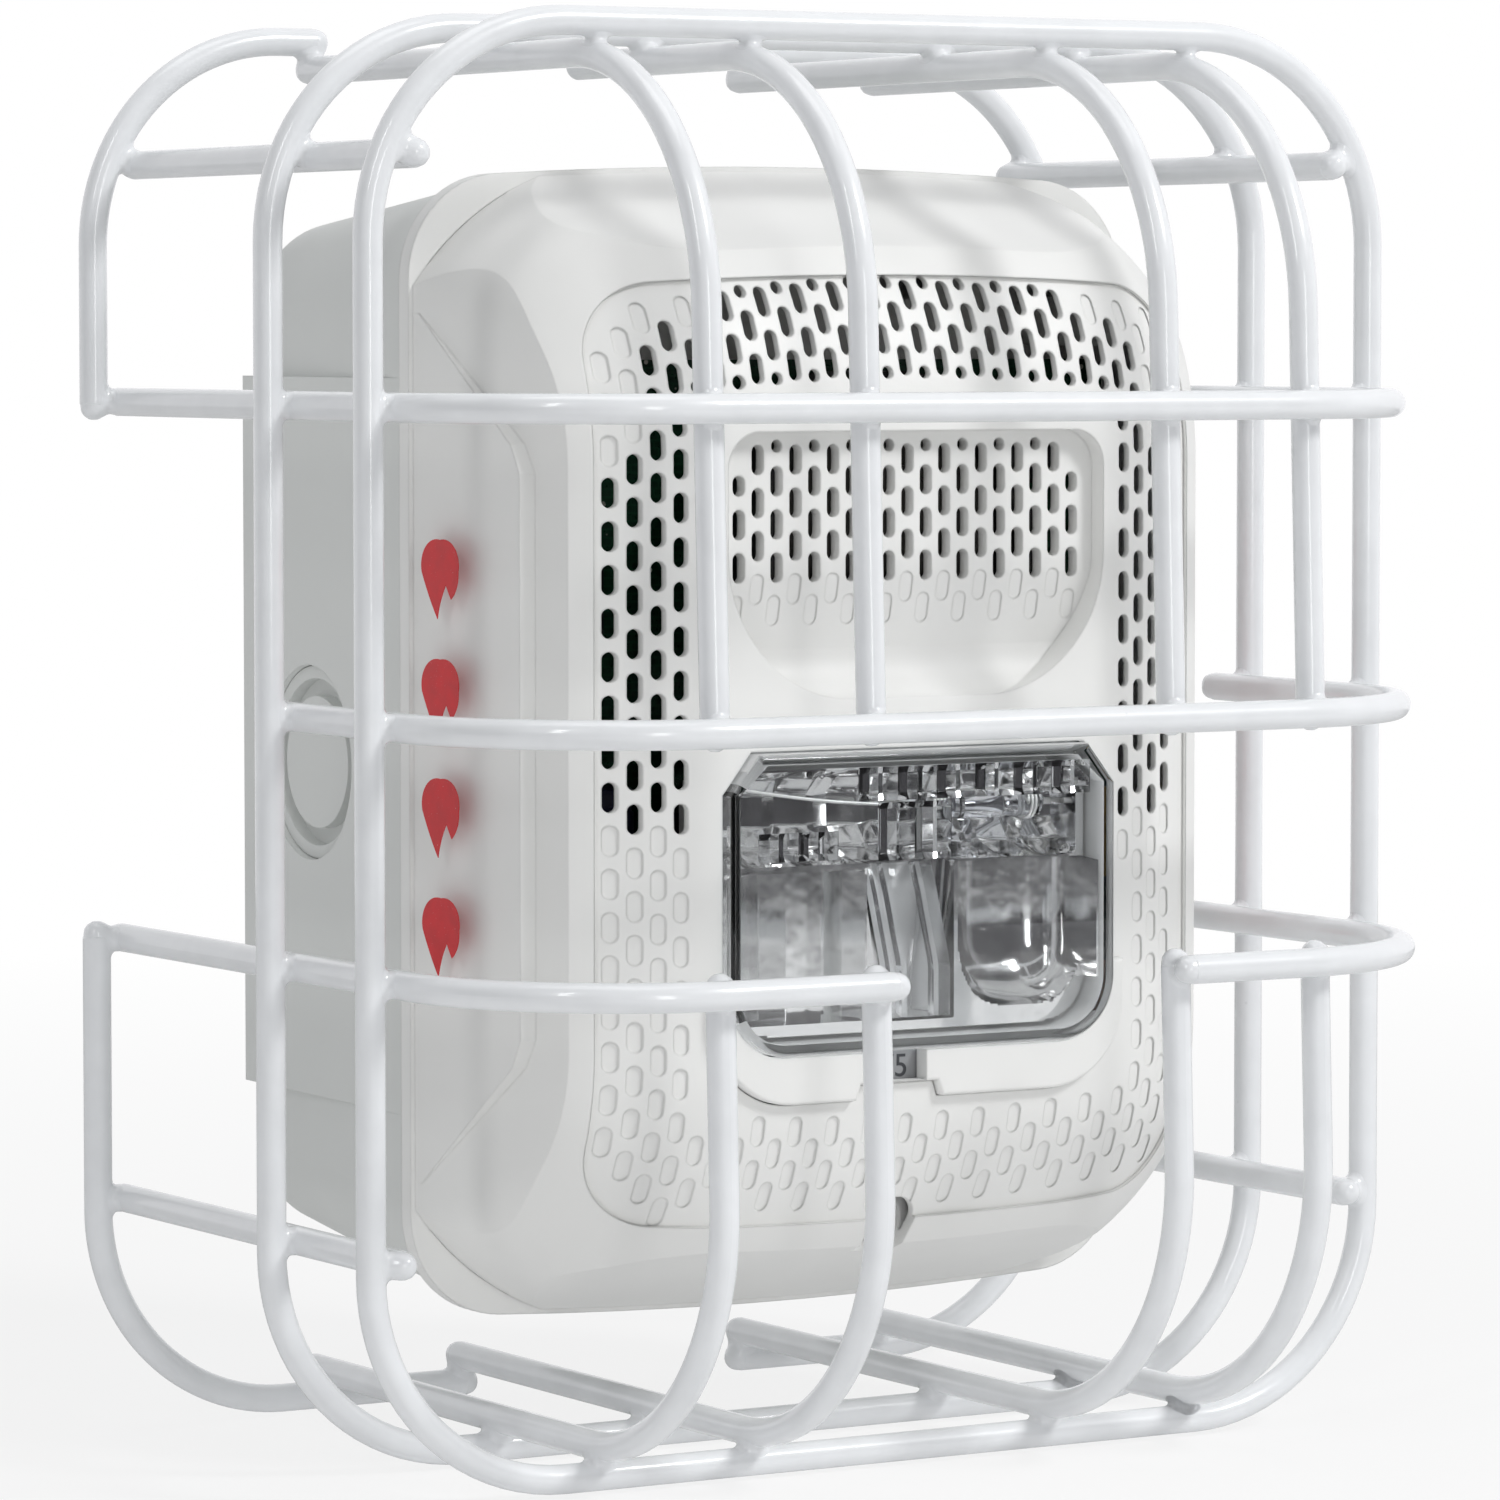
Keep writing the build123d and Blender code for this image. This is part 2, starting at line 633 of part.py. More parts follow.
# ---------------------------------------------------------------- parts on the board
capacitor_x = -40.0
capacitor = Pos(capacitor_x, board_front_y - 6.4, -20) * Cylinder(6.25, 30)
capacitor = fillet(capacitor.edges().filter_by(GeomType.CIRCLE), 0.8)
capacitor -= Pos(capacitor_x, board_front_y - 6.4, -8) * Torus(6.5, 0.6)
save("flash_capacitor", capacitor)

inductor = rod(6.5, 39, -38, board_front_y, board_front_y - 1.6)
inductor += rod(5.2, 39, -38, board_front_y - 1.6, board_front_y - 8.4)
inductor += rod(6.5, 39, -38, board_front_y - 8.4, board_front_y - 10)
save("inductor", inductor)

trigger = Pos(41, board_front_y - 4.5, -14) * Box(9, 9, 13)
trigger = fillet(trigger.edges().filter_by(Axis.Y), 1.2)
save("trigger_transformer", trigger)

chip_spots = [(-40, 22, 10, 12), (40, 14, 8, 10), (-24, -49, 14, 8), (18, -49, 8, 6), (36, 40, 9, 7)]
chips = [Pos(x, board_front_y - 0.9, z) * Box(w, 1.8, h) for x, z, w, h in chip_spots]
save("circuit_chips", Compound(children=chips))

# ---------------------------------------------------------------- horn
horn_z = 30.0
horn_rear_y = -76.0
horn_floor_y = -79.0
horn_front_y = -87.4
frame = rod(23, 0, horn_z, horn_rear_y, horn_front_y)
frame -= rod(19.8, 0, horn_z, horn_floor_y, horn_front_y - 1)
frame -= rod(5.0, 0, horn_z, horn_rear_y + 1, horn_floor_y - 1)
for angle in (90, 210, 330):
    x = 20.4 * math.cos(math.radians(angle))
    z = horn_z + 20.4 * math.sin(math.radians(angle))
    frame += rod(2.2, x, z, board_front_y, horn_rear_y)
save("horn_frame", frame)

magnet = rod(15.0, 0, horn_z, horn_floor_y, -83.6) - rod(9.3, 0, horn_z, horn_floor_y + 1, -84)
save("horn_ring_magnet", magnet)
pole = rod(7.5, 0, horn_z, horn_floor_y, -84.2) - rod(3.0, 0, horn_z, horn_floor_y + 1, -85)
save("horn_pole_piece", pole)

diaphragm = rod(19.3, 0, horn_z, -86.0, -86.35)
diaphragm += rod(16.6, 0, horn_z, -86.35, -86.8) - rod(15.8, 0, horn_z, -86.0, -87)
diaphragm += rod(11.2, 0, horn_z, -86.35, -86.8) - rod(10.4, 0, horn_z, -86.0, -87)
diaphragm += rod(8.4, 0, horn_z, -80.6, -86.0) - rod(8.0, 0, horn_z, -80, -86.0)
save("horn_diaphragm", diaphragm)
coil = rod(8.9, 0, horn_z, -80.9, -84.6) - rod(8.42, 0, horn_z, -80, -85)
save("horn_voice_coil", coil)
chamber = rod(23, 0, horn_z, horn_front_y, -91.3) - rod(19.8, 0, horn_z, horn_front_y + 1, -92)
chamber -= mouth_profile(cover_wall + 0.1)
save("horn_chamber_ring", chamber)

# ---------------------------------------------------------------- strobe
lens_front_y = -99.4
lens = slab(lens_outline(0), -88.0, lens_front_y)
lens = fillet(lens.faces().sort_by(Axis.Y)[0].edges(), 1.0)
lens -= slab(lens_outline(-1.6), -87.0, lens_front_y + 1.5)
flange = slab(lens_outline(1.8), -93.6, -94.8) - slab(lens_outline(-1.6), -93, -96)
flange &= Pos(0, -94, 0) * Box(100, 10, 76)
lens += flange
save("strobe_lens", lens)

reflector_rear_y = -76.0
reflector_front_y = -93.4
reflector_plan = Pos(0, lens_mid) * RectangleRounded(58.6, lens_h - 4.6, 7.0)
reflector = slab(reflector_plan, reflector_rear_y, reflector_front_y)


def trough(x0, x1, z0, z1, depth):
    """Bay with a rounded floor running up and down between z0 and z1."""
    half = (x1 - x0) / 2
    mid = (x0 + x1) / 2
    with BuildSketch() as sketch:
        with BuildLine():
            Line((mid - half, reflector_front_y - 1), (mid + half, reflector_front_y - 1))
            ThreePointArc(
                (mid + half, reflector_front_y - 1),
                (mid, reflector_front_y + depth),
                (mid - half, reflector_front_y - 1),
            )
        make_face()
    return extrude(Plane.XY.offset(z0) * sketch.sketch, z1 - z0, dir=(0, 0, 1))


tube_z = -8.4
tube_y = -88.6
tube_x0 = 5.0
tube_x1 = 25.0
lead_out = 1.8
reflector -= trough(-28.4, -7.0, -38.4, -16.2, 11.5)
bowl = Pos(17.0, reflector_front_y + 1.0, -27.2) * Sphere(11.6)
reflector -= bowl
with BuildSketch(Plane.YZ) as tube_bay:
    with BuildLine():
        Line((reflector_front_y - 1, -3.0), (reflector_front_y - 1, -15.4))
        ThreePointArc(
            (reflector_front_y - 1, -15.4),
            (reflector_front_y + 9.5, -9.2),
            (reflector_front_y - 1, -3.0),
        )
    make_face()
reflector -= extrude(Pos(-28.4, 0, 0) * tube_bay.sketch, 56.8, dir=(1, 0, 0))
reflector -= Pos(-1.0, -90.5, -27.2) * Box(10.4, 8, 22.0)
for x in (tube_x0 - lead_out, tube_x1 + lead_out):
    reflector -= rod(0.7, x, tube_z, reflector_rear_y + 1, tube_y)
save("strobe_reflector", reflector)

# Clear light guide with slanted fins in the middle of the reflector.
guide = Pos(-1.0, -88.2, -27.2) * Box(10.0, 3.2, 21.6)
for k in range(3):
    guide += Pos(-3.4 + 2.4 * k, -91.6, -27.2) * Rot(0, 12, 0) * Box(1.1, 3.8, 15.0)
save("light_guide", guide)

# Flash tube lying across the upper bay, and the two leads that carry it from the board.
tube_plane = Plane(origin=(tube_x0, tube_y, tube_z), z_dir=(1, 0, 0))
tube = extrude(tube_plane * Circle(1.9), tube_x1 - tube_x0)
tube = fillet(tube.edges().filter_by(GeomType.CIRCLE), 0.7)
save("flash_tube", tube)

leads = []
for x, out in ((tube_x0, -1), (tube_x1, 1)):
    start = (x + out * 0.01, tube_y, tube_z)
    corner = (x + out * lead_out, tube_y, tube_z)
    foot = (x + out * lead_out, board_front_y - 0.01, tube_z)
    path = Polyline(start, corner, foot)
    section = Plane(origin=path @ 0, z_dir=path % 0) * Circle(0.4)
    leads.append(sweep(section, path=path.wire(), transition=Transition.ROUND))
save("flash_tube_leads", Compound(children=leads))

# U-shaped plate around the lower half of the lens, with the number window.
bezel = slab(bezel_outline(0), -93.3, -98.3)
bezel = fillet(bezel.faces().sort_by(Axis.Y)[0].edges(), 0.5)
bezel -= slab(lens_outline(0.2), -90, -101)
bezel -= Pos(0, -94.35, (lens_bottom - 47.9) / 2) * Box(62, 2.5, 47.9 + lens_bottom)
bezel -= slab(lens_outline(2.0) & Rectangle(100, 80), -93, -95.0)
window = Pos(window_x, -98, (lens_bottom - 46.0) / 2) * Box(window_w, 10, 46.0 + lens_bottom)
bezel -= window
save("lens_bezel", bezel)

# Candela slide switch: number strip behind the window, carried on an arm that reaches the back.
strip_w = 3 * number_pitch
strip = Pos(slider_x, -94.75, (-47.6 - 42.0) / 2) * Box(strip_w, 0.9, 5.6)
strip += Pos(slider_x, (-94.4 - 57.6) / 2, slider_z) * Box(3.0, 94.4 - 57.6, 2.4)
strip += Pos(slider_x, -57.0, slider_z) * Box(5.0, 1.6, 5.0)
save("candela_slider", strip)

# Captive screw that holds the cover to the mounting plate.
cover_screw = rod(3.3, 0, screw_z, -72.6, -75.4)
cover_screw = fillet(cover_screw.faces().sort_by(Axis.Y)[0].edges(), 0.5)
cover_screw -= Pos(0, -75.4, screw_z) * Box(4.6, 2.4, 1.0)
cover_screw -= Pos(0, -75.4, screw_z) * Box(1.0, 2.4, 4.6)
cover_screw += rod(2.0, 0, screw_z, -46.4, -72.6)
save("cover_screw", cover_screw)

# Red flame marks printed on the flat side panels.
mark_pitch = 16.6
mark_z = [24.3 - k * mark_pitch for k in range(4)]


def flame():
    """Flame outline about 11 high, drawn around its own middle."""
    with BuildSketch() as sketch:
        with BuildLine():
            ThreePointArc((0.6, 5.6), (2.6, 2.4), (4.3, -0.9))
            ThreePointArc((4.3, -0.9), (3.7, -4.0), (0, -5.4))
            ThreePointArc((0, -5.4), (-3.7, -4.0), (-4.3, -1.0))
            ThreePointArc((-4.3, -1.0), (-3.9, 1.2), (-2.6, 2.8))
            ThreePointArc((-2.6, 2.8), (-1.9, 1.7), (-1.4, 0.8))
            ThreePointArc((-1.4, 0.8), (-0.2, 3.0), (0.6, 5.6))
        make_face()
    return sketch.sketch


panel_rise = (lip_half_w - 0.7 - 55.9) / (-82.8 - body_y)
panel_tilt = math.degrees(math.atan(panel_rise))
for side, hand in ((-1, "left"), (1, "right")):
    marks = []
    mark_y = -68.4
    panel_x = lip_half_w - 0.7 + (body_y - mark_y) * panel_rise * -1
    for z in mark_z:
        normal = Vector(side, panel_rise, 0)
        up_plane = Plane(origin=(side * panel_x, mark_y, z), x_dir=(0, -side, 0), z_dir=normal)
        marks.append(extrude(up_plane * flame(), 0.12))
    save("side_marks_" + hand, Compound(children=marks))
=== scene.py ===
import itertools
import json
import math

import bpy
import numpy as np
from mathutils import Matrix, Vector


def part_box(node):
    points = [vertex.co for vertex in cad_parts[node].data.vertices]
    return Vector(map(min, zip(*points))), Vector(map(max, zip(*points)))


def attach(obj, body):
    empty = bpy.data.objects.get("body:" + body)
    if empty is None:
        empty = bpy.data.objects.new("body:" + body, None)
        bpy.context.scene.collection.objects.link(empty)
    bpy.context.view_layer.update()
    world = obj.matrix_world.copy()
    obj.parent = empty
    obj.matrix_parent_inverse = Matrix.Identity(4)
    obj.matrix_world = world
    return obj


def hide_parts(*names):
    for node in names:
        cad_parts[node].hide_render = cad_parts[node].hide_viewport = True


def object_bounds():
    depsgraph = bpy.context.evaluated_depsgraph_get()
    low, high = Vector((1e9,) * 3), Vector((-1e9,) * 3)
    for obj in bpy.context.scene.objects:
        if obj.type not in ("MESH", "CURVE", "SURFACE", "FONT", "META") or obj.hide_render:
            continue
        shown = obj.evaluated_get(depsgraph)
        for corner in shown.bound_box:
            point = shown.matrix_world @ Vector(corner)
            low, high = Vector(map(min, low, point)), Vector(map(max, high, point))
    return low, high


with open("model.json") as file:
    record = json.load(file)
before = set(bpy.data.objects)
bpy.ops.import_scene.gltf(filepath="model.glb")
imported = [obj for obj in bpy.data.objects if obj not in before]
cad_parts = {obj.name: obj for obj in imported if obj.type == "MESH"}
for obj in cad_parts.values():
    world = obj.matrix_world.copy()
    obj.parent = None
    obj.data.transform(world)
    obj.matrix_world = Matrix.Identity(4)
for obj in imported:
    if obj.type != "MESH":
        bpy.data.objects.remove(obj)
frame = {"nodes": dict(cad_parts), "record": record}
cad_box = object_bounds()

MM = 0.001
HOUSING = "housing_and_guard"
LEFT_WALL_X = -29.0  # the lens wall left of this stays clear
GUIDE_BACK_Y = -89.6  # the back face of the light guide lies behind this
FROST_COLOUR = (0.90, 0.90, 0.90, 1)
scene = bpy.context.scene
nodes = frame["nodes"]


# ---------------------------------------------------------------- material helpers
class Shader:
    """One node material under construction; every helper returns an output socket."""

    def __init__(self, name):
        self.material = bpy.data.materials.new(name)
        self.material.use_nodes = True
        self.tree = self.material.node_tree
        self.bsdf = self.tree.nodes["Principled BSDF"]
        coords = self.tree.nodes.new("ShaderNodeTexCoord")
        scale = self.tree.nodes.new("ShaderNodeMapping")
        scale.inputs["Scale"].default_value = (1000, 1000, 1000)
        self.link(coords.outputs["Object"], scale.inputs["Vector"])
        self.place = scale.outputs["Vector"]

    def link(self, source, target):
        self.tree.links.new(source, target)

    def feed(self, socket, value):
        if isinstance(value, bpy.types.NodeSocket):
            self.link(value, socket)
        elif isinstance(value, (tuple, list)) and len(value) == 3 and socket.type == "RGBA":
            socket.default_value = (*value, 1)
        else:
            socket.default_value = value

    def set(self, **values):
        for key, value in values.items():
            self.feed(self.bsdf.inputs[key.replace("_", " ")], value)

    def noise(self, scale, detail=3.0, rough=0.5, stretch=None, distortion=0.0):
        """Noise with features about 1 / scale millimetres across."""
        node = self.tree.nodes.new("ShaderNodeTexNoise")
        node.inputs["Scale"].default_value = scale
        node.inputs["Detail"].default_value = detail
        node.inputs["Roughness"].default_value = rough
        node.inputs["Distortion"].default_value = distortion
        place = self.place
        if stretch:
            mapping = self.tree.nodes.new("ShaderNodeMapping")
            mapping.inputs["Scale"].default_value = stretch
            self.link(place, mapping.inputs["Vector"])
            place = mapping.outputs["Vector"]
        self.link(place, node.inputs["Vector"])
        return node.outputs["Fac"]

    def cells(self, scale):
        """Distance to the nearest of scattered points, about 1 / scale millimetres apart."""
        node = self.tree.nodes.new("ShaderNodeTexVoronoi")
        node.feature = "F1"
        node.inputs["Scale"].default_value = scale
        self.link(self.place, node.inputs["Vector"])
        return node.outputs["Distance"]

    def ramp(self, value, *stops):
        """Colour ramp through (position, colour or grey) stops."""
        node = self.tree.nodes.new("ShaderNodeValToRGB")
        elements = node.color_ramp.elements
        while len(elements) < len(stops):
            elements.new(0.5)
        for element, (position, colour) in zip(elements, stops):
            element.position = position
            grey = isinstance(colour, (int, float))
            element.color = (colour, colour, colour, 1) if grey else (*colour, 1)
        self.link(value, node.inputs["Fac"])
        return node.outputs["Color"]

    def math(self, operation, a, b=0.0, c=0.0):
        node = self.tree.nodes.new("ShaderNodeMath")
        node.operation = operation
        for socket, value in zip(node.inputs, (a, b, c)):
            self.feed(socket, value)
        return node.outputs[0]

    def scaled(self, value, low, high):
        node = self.tree.nodes.new("ShaderNodeMapRange")
        self.link(value, node.inputs["Value"])
        node.inputs["To Min"].default_value = low
        node.inputs["To Max"].default_value = high
        return node.outputs["Result"]

    def mix(self, factor, a, b, blend="MIX"):
        node = self.tree.nodes.new("ShaderNodeMix")
        node.data_type = "RGBA"
        node.blend_type = blend
        self.feed(node.inputs["Factor"], factor)
        self.feed(node.inputs[6], a)
        self.feed(node.inputs[7], b)
        return node.outputs[2]

    def axis(self, which):
        node = self.tree.nodes.new("ShaderNodeSeparateXYZ")
        self.link(self.place, node.inputs["Vector"])
        return node.outputs[which]

    def bump(self, height, strength, distance_mm=0.1, edge_mm=0.0):
        node = self.tree.nodes.new("ShaderNodeBump")
        node.inputs["Strength"].default_value = strength
        node.inputs["Distance"].default_value = distance_mm * MM
        self.link(height, node.inputs["Height"])
        if edge_mm:
            bevel = self.tree.nodes.new("ShaderNodeBevel")
            bevel.samples = 4
            bevel.inputs["Radius"].default_value = edge_mm * MM
            self.link(bevel.outputs["Normal"], node.inputs["Normal"])
        self.link(node.outputs["Normal"], self.bsdf.inputs["Normal"])

    def worn_edges(self):
        """Brightness of convex edges, from the mesh's own curvature."""
        node = self.tree.nodes.new("ShaderNodeNewGeometry")
        return self.ramp(node.outputs["Pointiness"], (0.50, 0.0), (0.56, 1.0))


def tint(colour, factor):
    return tuple(min(1.0, c * factor) for c in colour)


def moulded_plastic(name, colour, rough=0.42, grain=0.25, edge_mm=0.25):
    """Satin moulded plastic: fine spark-eroded grain, slow flow variation, a trace of dust."""
    s = Shader(name)
    slow = s.noise(0.035, 2.0, 0.5)
    fine = s.noise(2.6, 3.0, 0.6)
    speck = s.noise(0.9, 5.0, 0.7)
    base = s.ramp(slow, (0.30, tint(colour, 0.975)), (0.70, tint(colour, 1.015)))
    dusty = s.ramp(speck, (0.62, 0.0), (0.80, 0.04))
    s.set(
        Base_Color=s.mix(dusty, base, tint(colour, 0.72)),
        Roughness=s.scaled(
            s.math("ADD", s.math("MULTIPLY", fine, 0.5), slow), rough - 0.07, rough + 0.09
        ),
        Specular_IOR_Level=0.42,
    )
    s.bump(s.math("ADD", fine, s.math("MULTIPLY", slow, 2.0)), grain, 0.05, edge_mm)
    return s.material


def coated_wire(name, colour):
    """Thick glossy plastic coating: long soft waves, faint orange peel, small sags and nicks."""
    s = Shader(name)
    waves = s.noise(0.16, 2.0, 0.5)
    peel = s.noise(1.1, 2.0, 0.4)
    nick = s.cells(0.12)
    mark = s.ramp(nick, (0.0, 1.0), (0.035, 0.0))
    base = s.ramp(waves, (0.30, tint(colour, 0.965)), (0.72, tint(colour, 1.02)))
    s.set(
        Base_Color=s.mix(s.math("MULTIPLY", mark, 0.35), base, tint(colour, 0.62)),
        Roughness=s.scaled(peel, 0.28, 0.40),
        Specular_IOR_Level=0.5,
        Coat_Weight=0.9,
        Coat_Roughness=0.10,
    )
    s.bump(s.math("ADD", s.math("MULTIPLY", waves, 2.2), peel), 0.18, 0.10)
    return s.material


def plated_metal(name, colour, rough=0.28, stretch=(1, 6, 1), grain=0.22):
    """Metal with drawn or turned grain, a slight stain and brighter worn edges."""
    s = Shader(name)
    drawn = s.noise(1.6, 4.0, 0.6, stretch)
    stain = s.noise(0.25, 3.0, 0.6)
    base = s.ramp(stain, (0.32, tint(colour, 0.80)), (0.68, tint(colour, 1.05)))
    s.set(
        Base_Color=s.mix(s.math("MULTIPLY", s.worn_edges(), 0.5), base, tint(colour, 1.25)),
        Metallic=1.0,
        Roughness=s.scaled(drawn, rough - 0.09, rough + 0.14),
    )
    s.bump(drawn, grain, 0.03, 0.12)
    return s.material


def soft_rubber(name, colour):
    """Closed-cell foam: open pores over a cloudy, very rough surface."""
    s = Shader(name)
    pores = s.cells(2.2)
    cloud = s.noise(0.5, 3.0, 0.6)
    s.set(
        Base_Color=s.ramp(cloud, (0.3, tint(colour, 0.8)), (0.7, tint(colour, 1.25))),
        Roughness=s.scaled(cloud, 0.72, 0.92),
    )
    s.bump(pores, 0.5, 0.12)
    return s.material


def board_mask(name, colour):
    """Solder mask over copper tracks with rows of small pads."""
    s = Shader(name)
    brick = s.tree.nodes.new("ShaderNodeTexBrick")
    brick.inputs["Scale"].default_value = 0.22
    brick.inputs["Mortar Size"].default_value = 0.035
    brick.offset = 0.35
    turned = s.tree.nodes.new("ShaderNodeMapping")
    turned.inputs["Rotation"].default_value = (math.radians(90), 0, 0)
    s.link(s.place, turned.inputs["Vector"])
    s.link(turned.outputs["Vector"], brick.inputs["Vector"])
    tracks = brick.outputs["Fac"]
    pads = s.ramp(s.cells(0.30), (0.10, 1.0), (0.13, 0.0))
    mask = s.ramp(s.noise(0.6), (0.3, tint(colour, 0.85)), (0.7, tint(colour, 1.15)))
    lit = s.mix(s.math("MULTIPLY", tracks, 0.55), mask, tint(colour, 1.9))
    s.set(
        Base_Color=s.mix(pads, lit, (0.70, 0.68, 0.62)),
        Metallic=s.math("MULTIPLY", pads, 0.9),
        Roughness=s.scaled(s.noise(2.0), 0.22, 0.38),
    )
    s.bump(s.math("ADD", tracks, pads), 0.35, 0.08)
    return s.material


def clear_moulding(name, colour, rough=0.015, waviness=0.02, ior=1.585, frosted=None):
    """Clear moulding: slight flow waves, faint haze and hairline scratches.

    frosted names the faces with a fine matte texture: "sides" for the side walls to the right
    of the lens's left wall, "back" for the flat back of the light guide, None for no face.
    """
    s = Shader(name)
    waves = s.noise(0.12, 2.0, 0.5)
    scratch = s.ramp(s.noise(0.8, 6.0, 0.7, (9, 1, 1), 0.4), (0.60, 0.0), (0.66, 1.0))
    s.set(
        Base_Color=colour,
        Roughness=s.scaled(
            s.math("ADD", s.math("MULTIPLY", scratch, 0.2), waves), rough, rough + 0.05
        ),
        Transmission_Weight=1.0,
        IOR=ior,
    )
    s.bump(waves, waviness, 0.1)
    surface = s.bsdf.outputs["BSDF"]
    if frosted:
        normal = s.tree.nodes.new("ShaderNodeNewGeometry").outputs["True Normal"]
        facing = s.tree.nodes.new("ShaderNodeSeparateXYZ")
        s.link(normal, facing.inputs["Vector"])
        if frosted == "sides":
            away = s.math("SUBTRACT", 1.0, s.math("ABSOLUTE", facing.outputs[1]))
            right_of_left_wall = s.math("GREATER_THAN", s.axis(0), LEFT_WALL_X)
            share = s.math("MULTIPLY", s.ramp(away, (0.35, 0.0), (0.75, 0.80)), right_of_left_wall)
        else:
            share = s.ramp(s.math("ABSOLUTE", facing.outputs[1]), (0.975, 0.0), (0.995, 0.75))
            share = s.math("MULTIPLY", share, s.math("GREATER_THAN", s.axis(1), GUIDE_BACK_Y))
        matte = s.tree.nodes.new("ShaderNodeBsdfDiffuse")
        matte.inputs["Color"].default_value = FROST_COLOUR
        glow = s.tree.nodes.new("ShaderNodeBsdfTranslucent")
        glow.inputs["Color"].default_value = FROST_COLOUR
        frost = s.tree.nodes.new("ShaderNodeMixShader")
        s.link(matte.outputs["BSDF"], frost.inputs[1])
        s.link(glow.outputs["BSDF"], frost.inputs[2])
        blend = s.tree.nodes.new("ShaderNodeMixShader")
        s.link(share, blend.inputs["Fac"])
        s.link(surface, blend.inputs[1])
        s.link(frost.outputs["Shader"], blend.inputs[2])
        surface = blend.outputs["Shader"]
    # Light reaches the parts behind the clear moulding without noisy refracted shadows.
    ray = s.tree.nodes.new("ShaderNodeLightPath")
    see_through = s.tree.nodes.new("ShaderNodeBsdfTransparent")
    see_through.inputs["Color"].default_value = (*tint(colour, 0.95), 1)
    chooser = s.tree.nodes.new("ShaderNodeMixShader")
    unseen = s.math("MAXIMUM", ray.outputs["Is Shadow Ray"], ray.outputs["Is Diffuse Ray"])
    s.link(unseen, chooser.inputs["Fac"])
    s.link(surface, chooser.inputs[1])
    s.link(see_through.outputs["BSDF"], chooser.inputs[2])
    s.link(chooser.outputs["Shader"], s.tree.nodes["Material Output"].inputs["Surface"])
    return s.material


def vacuum_chrome(name, colour, rough=0.05, waviness=0.06):
    """Vacuum metallised plastic: mirror bright with slight sink waves, pinholes and haze."""
    s = Shader(name)
    waves = s.noise(0.20, 2.0, 0.5)
    haze = s.noise(0.6, 4.0, 0.6)
    pin = s.ramp(s.cells(1.4), (0.0, 1.0), (0.05, 0.0))
    s.set(
        Base_Color=s.mix(s.math("MULTIPLY", pin, 0.5), colour, tint(colour, 0.4)),
        Metallic=1.0,
        Roughness=s.scaled(haze, rough, rough + 0.10),
    )
    s.bump(s.math("ADD", waves, s.math("MULTIPLY", pin, 0.2)), waviness, 0.25)
    return s.material


def printed_ink(name, colour):
    """Screen printed ink: almost solid, with pinholes and a slightly uneven film."""
    s = Shader(name)
    pin = s.ramp(s.noise(3.2, 4.0, 0.7), (0.66, 0.0), (0.72, 0.45))
    film = s.noise(0.4, 2.0, 0.5)
    base = s.ramp(film, (0.3, tint(colour, 0.90)), (0.7, tint(colour, 1.06)))
    s.set(
        Base_Color=s.mix(pin, base, (0.75, 0.72, 0.70)),
        Roughness=s.scaled(film, 0.32, 0.48),
    )
    s.bump(film, 0.1, 0.03)
    return s.material


# ---------------------------------------------------------------- materials by record slot
finish = {
    "guard_coating": coated_wire("glossy_white_coating", (0.83, 0.845, 0.865)),
    "box_plastic": moulded_plastic("back_box_plastic", (0.73, 0.745, 0.73), 0.44, 0.30),
    "cover_plastic": moulded_plastic("cover_plastic", (0.84, 0.84, 0.825), 0.38, 0.18, edge_mm=0.5),
    "plate_plastic": moulded_plastic("plate_plastic", (0.70, 0.70, 0.68), 0.50, 0.30),
    "shell_plastic": moulded_plastic("shell_plastic", (0.74, 0.74, 0.72), 0.48, 0.30),
    "gasket_rubber": soft_rubber("foam_gasket", (0.035, 0.035, 0.035)),
    "zinc_steel": plated_metal("zinc_plated_steel", (0.86, 0.86, 0.84), 0.42),
    "spring_brass": plated_metal("spring_brass", (0.70, 0.52, 0.24), 0.25, (6, 1, 1)),
    "black_plastic": moulded_plastic("black_plastic", (0.022, 0.022, 0.024), 0.46, 0.35),
    "connector_plastic": moulded_plastic("ivory_plastic", (0.72, 0.66, 0.50), 0.40, 0.20),
    "board_green": board_mask("green_circuit_board", (0.005, 0.040, 0.018)),
    "capacitor_sleeve": moulded_plastic("shrink_sleeve", (0.02, 0.02, 0.05), 0.26, 0.10),
    "ferrite_core": plated_metal("wound_ferrite", (0.32, 0.17, 0.10), 0.36, (1, 14, 1), 0.5),
    "potting_plastic": moulded_plastic("amber_tape", (0.45, 0.28, 0.05), 0.30, 0.20),
    "horn_frame_plastic": moulded_plastic("horn_frame_plastic", (0.018, 0.018, 0.018), 0.50, 0.30),
    "magnet_ferrite": plated_metal("sintered_magnet", (0.10, 0.10, 0.105), 0.52, (1, 1, 1), 0.4),
    "coil_wire": plated_metal("enamelled_copper", (0.66, 0.28, 0.12), 0.28, (1, 18, 1), 0.6),
    "diaphragm_film": moulded_plastic("diaphragm_film", (0.045, 0.042, 0.036), 0.30, 0.10),
    "clear_lens": clear_moulding("clear_polycarbonate", (0.97, 0.98, 0.985), frosted="sides"),
    "tube_glass": clear_moulding("flash_tube_glass", (0.96, 0.97, 1.0), 0.01, 0.01, 1.47),
    "reflector_chrome": vacuum_chrome("reflector_chrome", (0.88, 0.88, 0.88), 0.05, 0.14),
    "slider_grey": moulded_plastic("slider_plastic", (0.33, 0.335, 0.345), 0.45, 0.20),
    "selector_plastic": moulded_plastic("selector_plastic", (0.80, 0.80, 0.77), 0.42, 0.20),
    "red_print": printed_ink("red_ink", (0.62, 0.018, 0.024)),
}
